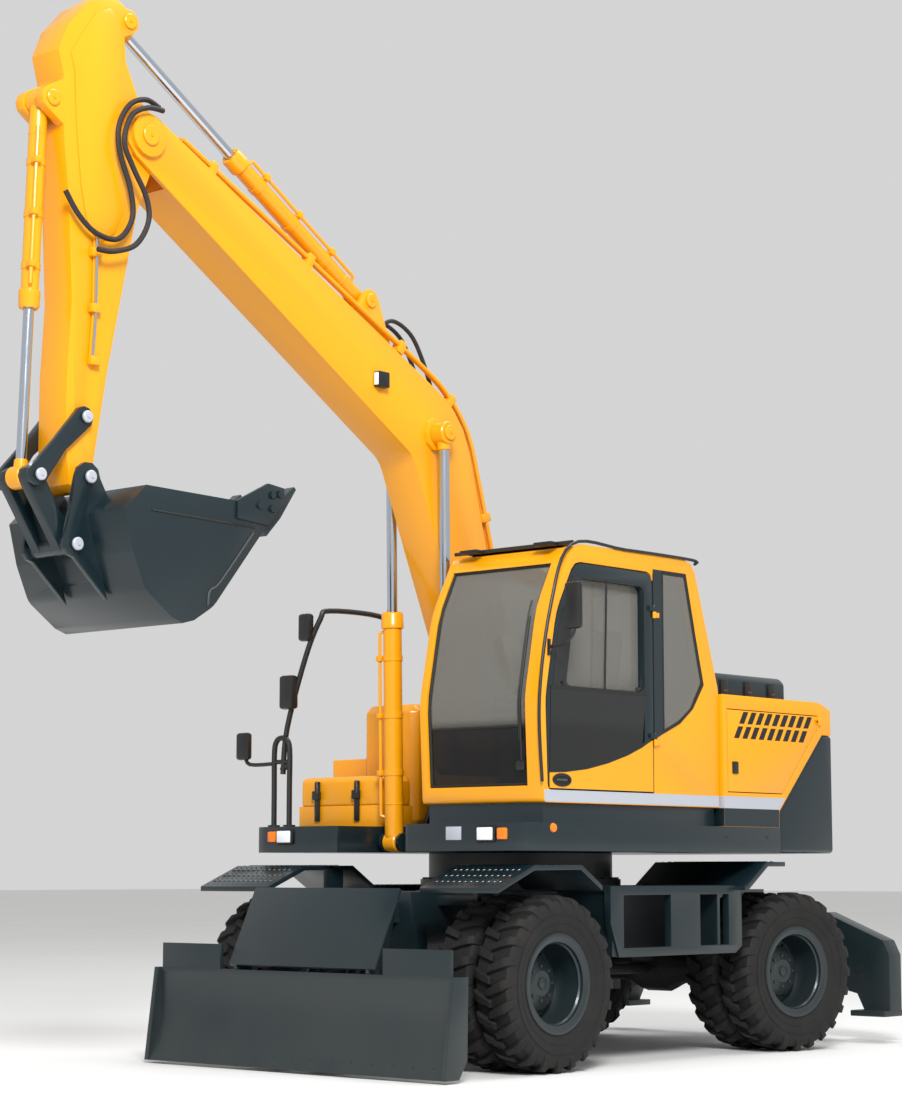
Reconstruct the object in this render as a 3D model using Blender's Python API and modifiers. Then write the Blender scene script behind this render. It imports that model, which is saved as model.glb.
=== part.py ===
"""Wheeled excavator: rubber-tyred undercarriage with dozer blade and stabilisers, slewing upper
structure with cab, one-piece boom, arm and bucket.

Metres, +Z up. The machine faces -Y, its cab is on the +X side. Machine coordinates have x = 0 on the
centre plane and y = 0 midway between the axles; the object's origin is on the floor below the middle
of its bounding box, so everything hangs on one empty that moves machine coordinates there.
"""
import math

import bmesh
import bpy
from mathutils import Matrix, Vector

# ---------------------------------------------------------------- driving dimensions
ORIGIN_SHIFT = 0.955          # machine coordinates to the object's own origin, along y
GAP = 0.0003                  # air between two pieces that touch
PIN_STEPS = 10                # sides of pins, eyes and hydraulic cylinders
WHEEL_STEPS = 12              # sides of rims, hubs and axles
ROUND_STEPS = 20              # sides of tyres and of the slew ring

# undercarriage
WHEELBASE = 2.6
TYRE_RADIUS = 0.525
TYRE_WIDTH = 0.278
TWIN_OUTER = 1.11             # middle plane of the outer tyre
TWIN_INNER = 0.80             # middle plane of the inner tyre
BEAD_RADIUS = 0.262
RIM_FLANGE_RADIUS = 0.295
RIM_WIDTH = 0.19
HUB_INNER_FACE = 0.805        # where a wheel hub meets its axle or knuckle
KINGPIN_X = 0.57
STEER_AT_REST = math.radians(-9.0)
AXLE_TUBE = 0.095
DIFF_RADIUS = 0.165
FRAME_HALF = 0.33             # half width of the chassis frame
FRAME_BOTTOM = 0.70
FRAME_TOP = 1.05
FRAME_FRONT = -1.62
FRAME_REAR = 2.10
SLEW_Y = -0.2                 # slew axis
SLEW_RADIUS = 0.60
SLEW_TOP = 1.2947
BLADE_PIN = (-1.72, 0.50)     # (y, z)
BLADE_HALF = 1.25
BLADE_ARM_X = 0.30
BLADE_ARM_THICK = 0.05
BLADE_CYL_X = 0.165
BLADE_CYL_FOOT = (-1.70, 0.93)
BLADE_CYL_EYE = (-2.10, 0.32)
BLADE_EYE_HALF = 0.045
BOX_OUTER = 1.17              # outer face of a side box
PLATFORM_INNER = 0.64
PLATFORM_OUTER = 1.25
STAB_Y = 2.35
STAB_THICK = 0.15
STAB_PIN = (0.34, 0.72)       # (x, z)

# upper structure
DECK_BOTTOM = 1.295
DECK_TOP = 1.46
DECK_HALF = 1.23
DECK_REAR = 1.0
TAIL_RADIUS = 2.2
CAB_LEFT = 1.20
CAB_RIGHT = 0.235
CAB_WALL = 0.055
CAB_BOTTOM = 1.58
CAB_TOP = 3.15
HOOD_FRONT = 0.375
HOOD_TOP = 2.31
HOOD_WALL = 0.05

# working equipment
BOOM_X = -0.10                # centre plane of boom, arm and bucket
BOOM_HALF = 0.15
BOOM_FOOT = (-0.36, 1.93)
BOOM_NOSE = (-3.57, 5.37)
BOOM_CYL_OFFSET = 0.23        # each boom cylinder from the boom's centre plane
BOOM_CYL_FOOT = (-1.06, 1.36)
BOOM_CYL_EYE = (-1.10, 3.95)
ARM_HALF = 0.12
ARM_CYL_FOOT = (-1.64, 4.744)
ARM_CYL_EYE = (-3.69, 6.03)
BUCKET_PIN = (-3.992, 3.332)
IDLER_PIN = (-3.997, 3.671)
LINK_PIN = (-4.315, 3.312)
EAR_PIN = (-4.078, 2.951)
BUCKET_CYL_TOP = (-4.24, 5.45)
BUCKET_HALF = 0.50
IDLER_THICK = 0.035
EAR_THICK = 0.03
SIDE_GAP = 0.005              # beside links that swing past each other

FRONT_AXLE_Y = -WHEELBASE / 2
REAR_AXLE_Y = WHEELBASE / 2
AXLE_Z = TYRE_RADIUS * math.cos(math.pi / ROUND_STEPS)
TWIN_MIDDLE = (TWIN_OUTER + TWIN_INNER) / 2

# ---------------------------------------------------------------- scene, collections, materials
for old in list(bpy.data.objects):
    bpy.data.objects.remove(old, do_unlink=True)

PARTS = bpy.data.collections.new("wheeled_excavator")
bpy.context.scene.collection.children.link(PARTS)


def linear(value):
    return value / 12.92 if value <= 0.04045 else ((value + 0.055) / 1.055) ** 2.4


def material(name, colour, roughness, metallic=0.0):
    made = bpy.data.materials.new(name)
    made.use_nodes = True
    shader = made.node_tree.nodes["Principled BSDF"]
    rgb = [linear(int(colour[i:i + 2], 16) / 255) for i in (0, 2, 4)]
    shader.inputs["Base Color"].default_value = (*rgb, 1.0)
    shader.inputs["Roughness"].default_value = roughness
    shader.inputs["Metallic"].default_value = metallic
    return made


YELLOW = material("yellow_enamel", "F2BE3C", 0.35)
GREEN = material("dark_green_enamel", "2B3F45", 0.4)
RUBBER = material("tyre_rubber", "1D1716", 0.9)
CHROME = material("chromed_rod", "B8C4D8", 0.15, 1.0)
BLACK = material("black_coating", "1E2224", 0.55)
GLASS = material("tinted_glass", "6A6B69", 0.08)
CLOTH = material("seat_cloth", "3A3B3D", 0.9)
IRON = material("cast_iron", "2A2C2E", 0.6, 0.3)
HOSE = material("hose_rubber", "4B4448", 0.7)

MACHINE = bpy.data.objects.new("machine_origin", None)
MACHINE.location = (0.0, ORIGIN_SHIFT, 0.0)
PARTS.objects.link(MACHINE)


# ---------------------------------------------------------------- shapes
def arc(centre, radius, start, end, steps):
    """Points on an arc, angles in degrees, both ends included."""
    points = []
    for i in range(steps + 1):
        a = math.radians(start + (end - start) * i / steps)
        points.append((centre[0] + radius * math.cos(a), centre[1] + radius * math.sin(a)))
    return points


def filleted(corners, steps=2):
    """An outline from corners (u, v, radius), each corner with a radius turned into an arc."""
    points = []
    count = len(corners)
    for i, (u, v, radius) in enumerate(corners):
        here = Vector((u, v))
        if radius <= 0.0:
            points.append((u, v))
            continue
        before = (Vector(corners[i - 1][:2]) - here).normalized()
        after = (Vector(corners[(i + 1) % count][:2]) - here).normalized()
        half = before.angle(after) / 2
        back = radius / math.tan(half)
        centre = here + (before + after).normalized() * radius / math.sin(half)
        first = here + before * back - centre
        turn = first.angle_signed(here + after * back - centre)
        for k in range(steps + 1):
            spoke = first.copy()
            spoke.rotate(Matrix.Rotation(-turn * k / steps, 2))
            points.append(tuple(centre + spoke))
    return points


def mesh_object(name, mesh, finish):
    mesh.materials.clear()
    mesh.materials.append(finish)
    made = bpy.data.objects.new(name, mesh)
    PARTS.objects.link(made)
    return made


def from_bmesh(name, bm, finish):
    mesh = bpy.data.meshes.new(name)
    bm.to_mesh(mesh)
    bm.free()
    return mesh_object(name, mesh, finish)


def box(low, high, finish=GREEN, name="piece"):
    bm = bmesh.new()
    size = Vector(high) - Vector(low)
    middle = (Vector(high) + Vector(low)) / 2
    bmesh.ops.create_cube(bm, size=1.0, matrix=Matrix.Translation(middle) @ Matrix.Diagonal((*size, 1.0)))
    return from_bmesh(name, bm, finish)


AXIS_TURN = {"x": Matrix.Rotation(math.pi / 2, 4, "Y"), "y": Matrix.Rotation(-math.pi / 2, 4, "X"),
             "z": Matrix.Identity(4)}


def rod(axis, start, length, radius, steps=PIN_STEPS, finish=GREEN, name="piece", end_radius=None):
    """A round bar from start along +axis."""
    bm = bmesh.new()
    centre = Vector(start) + Vector([length / 2 if a == axis else 0.0 for a in "xyz"])
    bmesh.ops.create_cone(bm, cap_ends=True, segments=steps, radius1=radius,
                          radius2=radius if end_radius is None else end_radius, depth=length,
                          matrix=Matrix.Translation(centre) @ AXIS_TURN[axis])
    return from_bmesh(name, bm, finish)


def as_mesh(source, finish, name="piece"):
    """The evaluated shape of an object with a curve or modifiers, as a plain closed mesh in world place."""
    bpy.context.view_layer.update()
    shape = source.evaluated_get(bpy.context.evaluated_depsgraph_get())
    mesh = bpy.data.meshes.new_from_object(shape)
    mesh.transform(source.matrix_world)
    bpy.data.objects.remove(source, do_unlink=True)
    bm = bmesh.new()
    bm.from_mesh(mesh)
    bmesh.ops.remove_doubles(bm, verts=bm.verts, dist=1e-5)
    bmesh.ops.recalc_face_normals(bm, faces=bm.faces)
    bm.to_mesh(mesh)
    bm.free()
    return mesh_object(name, mesh, finish)


# an outline's two coordinates and its thickness direction, as columns of a rotation
OUTLINE_TURN = {"x": Matrix(((0, 0, 1), (1, 0, 0), (0, 1, 0))),
                "y": Matrix(((1, 0, 0), (0, 0, -1), (0, 1, 0))),
                "z": Matrix.Identity(3)}


def plate(axis, outline, low, high, finish=GREEN, name="piece"):
    """A flat outline with thickness along axis: (y, z) for x, (x, z) for y and (x, y) for z."""
    curve = bpy.data.curves.new(name, "CURVE")
    curve.dimensions = "2D"
    curve.fill_mode = "BOTH"
    curve.extrude = (high - low) / 2
    spline = curve.splines.new("POLY")
    spline.points.add(len(outline) - 1)
    for point, (u, v) in zip(spline.points, outline):
        point.co = (u, v, 0.0, 1.0)
    spline.use_cyclic_u = True
    made = bpy.data.objects.new(name, curve)
    PARTS.objects.link(made)
    place = Vector([(low + high) / 2 if a == axis else 0.0 for a in "xyz"])
    made.matrix_world = Matrix.Translation(place) @ OUTLINE_TURN[axis].to_4x4()
    return as_mesh(made, finish, name)


def turned(axis, centre, profile, steps, finish=GREEN, name="piece", closed=False, offset=0.0):
    """A profile of (along axis, radius) points turned once around the axis."""
    mesh = bpy.data.meshes.new(name)
    verts = [(r, 0.0, along) for along, r in profile]
    edges = [(i, i + 1) for i in range(len(verts) - 1)]
    if closed:
        edges.append((len(verts) - 1, 0))
    mesh.from_pydata(verts, edges, [])
    made = mesh_object(name, mesh, finish)
    screw = made.modifiers.new("turn", "SCREW")
    screw.axis = "Z"
    screw.angle = 2 * math.pi
    screw.steps = steps
    screw.render_steps = steps
    screw.use_merge_vertices = True
    screw.merge_threshold = 1e-5
    turn = Matrix.Rotation(offset, 4, "Z")
    made.matrix_world = Matrix.Translation(centre) @ AXIS_TURN[axis] @ turn
    return as_mesh(made, finish, name)


def tube(points, radius, finish=BLACK, name="piece", resolution=0):
    """A round bar or pipe along a polyline."""
    curve = bpy.data.curves.new(name, "CURVE")
    curve.dimensions = "3D"
    curve.bevel_depth = radius
    curve.bevel_resolution = resolution
    curve.use_fill_caps = True
    spline = curve.splines.new("POLY")
    spline.points.add(len(points) - 1)
    for point, place in zip(spline.points, points):
        point.co = (*place, 1.0)
    made = bpy.data.objects.new(name, curve)
    PARTS.objects.link(made)
    return as_mesh(made, finish, name)


def boolean(base, tools, operation, name=None):
    """Cuts, joins or intersects base with each tool in turn; the tools are used up."""
    for tool in tools:
        step = base.modifiers.new(operation, "BOOLEAN")
        step.operation = operation
        step.solver = "EXACT"
        step.object = tool
        finish = base.data.materials[0]
        bpy.context.view_layer.update()
        shape = base.evaluated_get(bpy.context.evaluated_depsgraph_get())
        mesh = bpy.data.meshes.new_from_object(shape)
        base.modifiers.clear()
        mesh.materials.clear()
        mesh.materials.append(finish)
        base.data = mesh
        bpy.data.objects.remove(tool, do_unlink=True)
    bm = bmesh.new()
    bm.from_mesh(base.data)
    bmesh.ops.remove_doubles(bm, verts=bm.verts, dist=1e-5)
    bmesh.ops.dissolve_degenerate(bm, edges=bm.edges, dist=1e-6)
    bm.to_mesh(base.data)
    bm.free()
    if name:
        base.name = name
    return base


def joined(name, pieces, finish=None):
    if finish is not None:
        pieces[0].data.materials.clear()
        pieces[0].data.materials.append(finish)
    return boolean(pieces[0], pieces[1:], "UNION", name)


def cut(base, tools):
    return boolean(base, tools, "DIFFERENCE")


def bevel(made, width, angle=40.0, segments=1):
    step = made.modifiers.new("rounded edges", "BEVEL")
    step.width = width
    step.segments = segments
    step.limit_method = "ANGLE"
    step.angle_limit = math.radians(angle)
    step.use_clamp_overlap = True
    return made


def mirrored(points):
    return [(-u, v) for u, v in reversed(points)]


def seat(made, pivot=(0.0, 0.0, 0.0), parent=None):
    """Puts a finished piece's origin on its joint and hangs it on what carries it."""
    made.data.transform(Matrix.Translation(-Vector(pivot)))
    carrier = parent or MACHINE
    bpy.context.view_layer.update()
    made.parent = carrier
    base = carrier.matrix_world.translation - Vector((0.0, ORIGIN_SHIFT, 0.0))
    made.location = Vector(pivot) - base
    made.data.shade_smooth()
    made.data.set_sharp_from_angle(angle=math.radians(35))
    return made


def joint_point(pin, x=0.0):
    return (x, pin[0], pin[1])


# ---------------------------------------------------------------- hydraulic cylinders
def along_pins(made, foot, eye, x):
    """Turns a shape built along +Z from the origin to run from foot to eye at x."""
    direction = Vector((0.0, eye[0] - foot[0], eye[1] - foot[1])).normalized()
    side = Vector((1.0, 0.0, 0.0))
    turn = Matrix((side, direction.cross(side), direction)).transposed()
    made.data.transform(Matrix.Translation((x, foot[0], foot[1])) @ turn.to_4x4())
    return made


def pin_distance(foot, eye):
    return math.hypot(eye[0] - foot[0], eye[1] - foot[1])


ROD_CLEARANCE = 0.0006


def barrel(foot, eye, x, length, radius, rod_radius, eye_half, eye_radius, finish=YELLOW):
    """A cylinder barrel: closed foot with its eye, bore open at the gland."""
    bore = rod_radius + ROD_CLEARANCE
    gland = radius * 1.2
    body = turned("z", (0, 0, 0), [(0.06, 0.0), (0.06, bore), (length, bore), (length, gland * 0.94),
                                   (length - 0.015, gland), (length - 0.10, gland), (length - 0.11, radius),
                                   (0.03, radius), (0.0, radius * 0.8), (0.0, 0.0)], PIN_STEPS, finish)
    body = along_pins(body, foot, eye, x)
    lug = rod("x", (x - eye_half, foot[0], foot[1]), 2 * eye_half, eye_radius, finish=finish)
    return joined("piece", [lug, body])


def piston_rod(foot, eye, x, length, rod_radius, eye_half, eye_radius, finish=CHROME):
    """A piston rod with its eye; length runs from the eye's centre into the barrel."""
    reach = pin_distance(foot, eye)
    bar = turned("z", (0, 0, 0), [(reach - length, 0.0), (reach - length, rod_radius),
                                  (reach - eye_radius * 0.6, rod_radius), (reach - eye_radius * 0.6, 0.0)],
                 PIN_STEPS, finish)
    bar = along_pins(bar, foot, eye, x)
    lug = rod("x", (x - eye_half, eye[0], eye[1]), 2 * eye_half, eye_radius, finish=finish)
    return joined("piece", [lug, bar])


# ---------------------------------------------------------------- wheels
def tyre_profile():
    """Both tyres of a twin wheel, along the axle, bridged where their sidewalls bulge together."""
    out = (TWIN_OUTER - TWIN_INNER) / 2
    bead = RIM_WIDTH / 2 - GAP
    half = TYRE_WIDTH / 2
    wall = RIM_FLANGE_RADIUS + 0.006
    outside = [(out + bead, BEAD_RADIUS), (out + bead, wall), (out + half, 0.41), (out + half - 0.025, TYRE_RADIUS),
               (out - half + 0.025, TYRE_RADIUS), (out - half, 0.43)]
    inside = [(out - half, 0.37), (out - bead, wall), (out - bead, BEAD_RADIUS)]
    return (outside + [(-u, r) for u, r in reversed(outside)] + [(-u, r) for u, r in reversed(inside)]
            + inside)


def wheel_profile():
    """Both rims of a twin wheel, the discs bolted together and the planetary hub, along the axle."""
    barrel_inner = 0.24
    barrel_outer = BEAD_RADIUS * math.cos(math.pi / ROUND_STEPS) - GAP
    flange = RIM_FLANGE_RADIUS
    out = TWIN_OUTER - TWIN_MIDDLE
    edge = RIM_WIDTH / 2
    lip = 0.012
    hub = HUB_INNER_FACE - TWIN_MIDDLE
    points = [(0.135, 0.0), (0.135, 0.12), (0.10, 0.165), (0.022, 0.17), (0.022, barrel_inner),
              (out + edge, barrel_inner), (out + edge + lip, flange), (out + edge, flange),
              (out + edge, barrel_outer), (out - edge, barrel_outer), (out - edge, flange),
              (out - edge - lip, barrel_outer)]
    inner = [(-u, r) for u, r in reversed(points[4:])]
    return points + inner + [(-0.022, 0.17), (hub, 0.16), (hub, 0.0)]


def twin_wheel(name, axle_y, side, kingpin):
    """A twin wheel built about its middle plane, then moved to its corner; kingpin is None or its x."""
    half_step = math.pi / ROUND_STEPS
    tyre = turned("x", (0, 0, 0), tyre_profile(), ROUND_STEPS, RUBBER, "tyres_" + name, closed=True,
                  offset=half_step)
    wheel = turned("x", (0, 0, 0), wheel_profile(), WHEEL_STEPS, GREEN, "wheel_" + name)
    for made in (tyre, wheel):
        local = Matrix.Rotation(math.pi if side < 0 else 0.0, 4, "Z")
        if kingpin is None:
            made.data.transform(local)
            seat_wheel(made, (side * TWIN_MIDDLE, axle_y, AXLE_Z), 0.0)
        else:
            made.data.transform(local)
            arm = Vector((side * (TWIN_MIDDLE - kingpin), 0.0, 0.0))
            arm.rotate(Matrix.Rotation(STEER_AT_REST, 3, "Z"))
            place = Vector((side * kingpin, axle_y, AXLE_Z)) + arm
            seat_wheel(made, place, STEER_AT_REST)
    return tyre, wheel


def seat_wheel(made, place, turn):
    made.parent = MACHINE
    made.location = place
    made.rotation_euler = (0.0, 0.0, turn)
    made.data.shade_smooth()
    made.data.set_sharp_from_angle(angle=math.radians(35))


for end, axle_y, kingpin in (("front", FRONT_AXLE_Y, None), ("rear", REAR_AXLE_Y, KINGPIN_X)):
    for hand, side in (("left", 1), ("right", -1)):
        twin_wheel(end + "_" + hand, axle_y, side, kingpin)

# ---------------------------------------------------------------- axles and knuckles
def symmetric_profile(half):
    """A turned profile that runs from its left end to its right, given from the middle outwards."""
    return [(-u, r) for u, r in reversed(half)] + half


hub_face = HUB_INNER_FACE - GAP
front_half = [(0.10, DIFF_RADIUS), (0.20, AXLE_TUBE + 0.02), (0.30, AXLE_TUBE), (0.64, AXLE_TUBE),
              (0.69, 0.15), (hub_face, 0.15), (hub_face, 0.0)]
front_axle = turned("x", (0, FRONT_AXLE_Y, AXLE_Z), symmetric_profile(front_half), WHEEL_STEPS, IRON)
pads = [box((x - 0.05, FRONT_AXLE_Y - 0.11, AXLE_Z + 0.04), (x + 0.05, FRONT_AXLE_Y + 0.11, FRAME_BOTTOM - GAP))
        for x in (-0.26, 0.26)]
seat(joined("front_axle", [front_axle] + pads))

YOKE_INSIDE = 0.115
YOKE_OUTSIDE = 0.155
rear_half = [(0.10, DIFF_RADIUS), (0.20, AXLE_TUBE + 0.02), (0.28, AXLE_TUBE), (0.45, AXLE_TUBE), (0.45, 0.0)]
rear_axle = turned("x", (0, REAR_AXLE_Y, AXLE_Z), symmetric_profile(rear_half), WHEEL_STEPS, IRON)
yokes = []
for side in (1, -1):
    xs = sorted((side * (KINGPIN_X + 0.06), side * (KINGPIN_X - 0.15)))
    for low, high in ((YOKE_INSIDE, YOKE_OUTSIDE), (-YOKE_OUTSIDE, -YOKE_INSIDE)):
        yokes.append(box((xs[0], REAR_AXLE_Y - 0.06, AXLE_Z + low), (xs[1], REAR_AXLE_Y + 0.06, AXLE_Z + high)))
    xs = sorted((side * (KINGPIN_X - 0.16), side * (KINGPIN_X - 0.10)))
    yokes.append(box((xs[0], REAR_AXLE_Y - 0.08, AXLE_Z - YOKE_OUTSIDE - 0.01),
                     (xs[1], REAR_AXLE_Y + 0.08, AXLE_Z + YOKE_OUTSIDE + 0.01)))
saddle = box((-0.09, REAR_AXLE_Y - 0.2, AXLE_Z + 0.05), (0.09, REAR_AXLE_Y + 0.2, FRAME_BOTTOM - GAP))
seat(joined("rear_axle", [rear_axle] + yokes + [saddle]))

for hand, side in (("left", 1), ("right", -1)):
    kingpin = rod("z", (0, 0, -YOKE_INSIDE + GAP), 2 * (YOKE_INSIDE - GAP), 0.055, finish=IRON)
    spindle = turned("x", (0, 0, 0), [(0.0, 0.0), (0.0, 0.045), (0.12, 0.06), (0.14, 0.15),
                                      (hub_face - KINGPIN_X, 0.15), (hub_face - KINGPIN_X, 0.0)], WHEEL_STEPS, IRON)
    steer_arm = box((0.02, 0.05, -0.02), (0.08, 0.17, 0.02), IRON)
    spindle.data.transform(Matrix.Rotation(math.pi if side < 0 else 0.0, 4, "Z"))
    if side < 0:
        steer_arm.data.transform(Matrix.Diagonal((-1.0, 1.0, 1.0, 1.0)))
        steer_arm.data.flip_normals()
    knuckle = joined("knuckle_" + hand, [spindle, kingpin, steer_arm])
    knuckle.parent = MACHINE
    knuckle.location = (side * KINGPIN_X, REAR_AXLE_Y, AXLE_Z)
    knuckle.rotation_euler = (0.0, 0.0, STEER_AT_REST)

# ---------------------------------------------------------------- chassis frame
frame = box((-FRAME_HALF, FRAME_FRONT, FRAME_BOTTOM), (FRAME_HALF, FRAME_REAR, FRAME_TOP))
turret = rod("z", (0, SLEW_Y, FRAME_BOTTOM + 0.06), FRAME_TOP - FRAME_BOTTOM - 0.06 + 0.0, 0.69, 20)
SIDE_BOX_INNER = 0.71
cross = box((-SIDE_BOX_INNER + GAP, -0.55, 0.74), (SIDE_BOX_INNER - GAP, 0.33, 1.0))
nose = box((-0.375, FRAME_FRONT, 0.40), (0.375, FRAME_FRONT + 0.10, 0.86))
lugs = []
for side in (1, -1):
    inner = BLADE_ARM_X - BLADE_ARM_THICK / 2 - GAP
    outer = BLADE_ARM_X + BLADE_ARM_THICK / 2 + GAP
    for low, high in ((inner - 0.04, inner), (outer, outer + 0.04)):
        xs = sorted((side * low, side * high))
        outline = [(FRAME_FRONT + 0.05, 0.58), (BLADE_PIN[0], 0.57)] + arc(BLADE_PIN, 0.07, 90, 270, 4)
        outline += [(FRAME_FRONT + 0.05, 0.43)]
        lugs.append(plate("x", outline, xs[0], xs[1]))
    for low, high in ((BLADE_CYL_X - BLADE_EYE_HALF - GAP - 0.02, BLADE_CYL_X - BLADE_EYE_HALF - GAP),
                      (BLADE_CYL_X + BLADE_EYE_HALF + GAP, BLADE_CYL_X + BLADE_EYE_HALF + GAP + 0.02)):
        xs = sorted((side * low, side * high))
        outline = [(FRAME_FRONT + 0.05, 1.0)] + arc(BLADE_CYL_FOOT, 0.055, 90, 270, 4)
        outline += [(FRAME_FRONT + 0.05, 0.86)]
        lugs.append(plate("x", outline, xs[0], xs[1]))
stab_inner = STAB_THICK / 2 + GAP
tail = box((-0.21, FRAME_REAR - 0.1, 0.60), (0.21, STAB_Y + stab_inner + 0.04, 0.92))
cheeks = [box((-0.43, STAB_Y - stab_inner - 0.04, 0.58), (0.43, STAB_Y - stab_inner, 0.90)),
          box((-0.43, STAB_Y + stab_inner, 0.58), (0.43, STAB_Y + stab_inner + 0.04, 0.90))]
pin_heads = []
for side in (1, -1):
    for y in (STAB_Y - stab_inner - 0.06, STAB_Y + stab_inner + 0.02):
        pin_heads.append(rod("y", (side * STAB_PIN[0], y, STAB_PIN[1]), 0.04, 0.045, 12))
step = [(-1.88, 1.05), (-1.555, 1.18), (-1.126, 1.184), (-0.92, 1.06), (-0.92, 1.09), (-1.115, 1.212),
        (-1.56, 1.21), (-1.88, 1.08)]
platforms = []
for side in (1, -1):
    xs = sorted((side * PLATFORM_INNER, side * PLATFORM_OUTER))
    platforms.append(plate("x", step, xs[0], xs[1]))
    xs = sorted((side * (FRAME_HALF - 0.01), side * 0.655))
    platforms.append(box((xs[0], -1.38, 0.97), (xs[1], -1.22, 1.03)))
    xs = sorted((side * 0.62, side * 0.65))
    platforms.append(box((xs[0], -1.375, 0.98), (xs[1], -1.225, 1.19)))
seat(joined("chassis_frame", [frame, turret, cross, nose, tail] + cheeks + lugs + pin_heads + platforms))

ring = turned("z", (0, SLEW_Y, 0), [(FRAME_TOP + GAP, 0.0), (FRAME_TOP + GAP, 0.66), (1.13, 0.66), (1.13, SLEW_RADIUS),
                                    (SLEW_TOP, SLEW_RADIUS), (SLEW_TOP, 0.0)], ROUND_STEPS, IRON, "slew_ring")
seat(ring)

gearbox = box((-0.20, -0.42, 0.44), (0.20, 0.12, FRAME_BOTTOM - GAP), IRON)
shaft_front = rod("y", (0, FRONT_AXLE_Y + DIFF_RADIUS + 0.01, AXLE_Z), 0.80, 0.04, 12, IRON)
shaft_rear = rod("y", (0, 0.10, AXLE_Z), REAR_AXLE_Y - DIFF_RADIUS - 0.11, 0.04, 12, IRON)
seat(joined("drive_line", [gearbox, shaft_front, shaft_rear]))

# ---------------------------------------------------------------- side boxes and platforms
for hand, side in (("left", 1), ("right", -1)):
    def span(a, b):
        return sorted((side * a, side * b))

    xs = span(1.12, BOX_OUTER)
    outer_face = [(-0.74, 1.085), (-0.74, 0.86), (-0.66, 0.655), (0.56, 0.655), (0.635, 0.70), (0.635, 1.085)]
    face = plate("x", outer_face, xs[0], xs[1])
    xs = span(1.0, 1.3)
    windows = [box((xs[0], low, 0.71), (xs[1], high, 1.03)) for low, high in ((-0.61, -0.13), (0.18, 0.49))]
    cut(face, windows)
    shell = [face]
    for low, high in (((SIDE_BOX_INNER, -0.70, 0.66), (SIDE_BOX_INNER + 0.03, 0.42, 1.07)),
                      ((SIDE_BOX_INNER + 0.01, -0.70, 0.66), (1.15, 0.42, 0.69)),
                      ((SIDE_BOX_INNER + 0.01, -0.72, 1.05), (1.16, 0.60, 1.085)),
                      ((SIDE_BOX_INNER + 0.01, -0.70, 0.67), (1.15, -0.67, 1.07)),
                      ((SIDE_BOX_INNER + 0.01, 0.39, 0.67), (1.15, 0.42, 1.07))):
        xs = span(low[0], high[0])
        shell.append(box((xs[0], low[1], low[2]), (xs[1], high[1], high[2])))
    ramp = [(0.56, 1.055), (0.60, 1.055), (0.825, 1.207), (1.02, 1.207), (1.02, 1.237), (0.81, 1.237),
            (0.585, 1.085), (0.56, 1.085)]
    xs = span(0.34, PLATFORM_OUTER)
    shell.append(plate("x", ramp, xs[0], xs[1]))
    seat(joined(hand + "_side_box", shell))

# ---------------------------------------------------------------- dozer blade
board = [(-2.33, 0.02), (-2.29, 0.02), (-2.235, 0.125), (-2.20, 0.26), (-2.192, 0.40), (-2.21, 0.585),
         (-2.24, 0.585), (-2.225, 0.40), (-2.232, 0.26), (-2.268, 0.125)]
pieces = [plate("x", board, -BLADE_HALF + 0.03, BLADE_HALF - 0.03)]
end_plate = [(-2.335, 0.02), (-2.22, 0.02), (-2.15, 0.12), (-2.14, 0.585), (-2.26, 0.585)]
rib = [(-2.20, 0.50), (-2.235, 0.60), (-2.01, 1.06), (-1.97, 1.04), (-2.13, 0.50)]
guard = [(-2.235, 0.615), (-2.015, 1.077), (-1.995, 1.068), (-2.215, 0.605)]
arm_outline = arc(BLADE_PIN, 0.07, -60, 80, 4) + [(-2.21, 0.555), (-2.225, 0.11)]
pieces.append(plate("x", guard, -0.605, 0.605))
for side in (1, -1):
    xs = sorted((side * (BLADE_HALF - 0.032), side * BLADE_HALF))
    pieces.append(plate("x", end_plate, xs[0], xs[1]))
    xs = sorted((side * 0.68, side * 1.20))
    pieces.append(box((xs[0], -2.238, 0.55), (xs[1], -2.212, 0.735)))
    xs = sorted((side * 0.54, side * 0.56))
    pieces.append(plate("x", rib, xs[0], xs[1]))
    xs = sorted((side * (BLADE_ARM_X - BLADE_ARM_THICK / 2), side * (BLADE_ARM_X + BLADE_ARM_THICK / 2)))
    pieces.append(plate("x", arm_outline, xs[0], xs[1]))
    for low, high in ((BLADE_CYL_X - BLADE_EYE_HALF - GAP - 0.02, BLADE_CYL_X - BLADE_EYE_HALF - GAP),
                      (BLADE_CYL_X + BLADE_EYE_HALF + GAP, BLADE_CYL_X + BLADE_EYE_HALF + GAP + 0.02)):
        xs = sorted((side * low, side * high))
        lug = arc(BLADE_CYL_EYE, 0.05, -90, 90, 4) + [(-2.21, 0.42), (-2.21, 0.22)]
        pieces.append(plate("x", lug, xs[0], xs[1]))
blade = joined("blade", pieces)
seat(blade, joint_point(BLADE_PIN))

for hand, side in (("left", 1), ("right", -1)):
    x = side * BLADE_CYL_X
    made = barrel(BLADE_CYL_FOOT, BLADE_CYL_EYE, x, 0.49, 0.04, 0.022, BLADE_EYE_HALF, 0.045, GREEN)
    made.name = "blade_barrel_" + hand
    seat(made, joint_point(BLADE_CYL_FOOT, x))
    made = piston_rod(BLADE_CYL_FOOT, BLADE_CYL_EYE, x, 0.50, 0.022, BLADE_EYE_HALF, 0.042)
    made.name = "blade_rod_" + hand
    seat(made, joint_point(BLADE_CYL_EYE, x))

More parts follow.
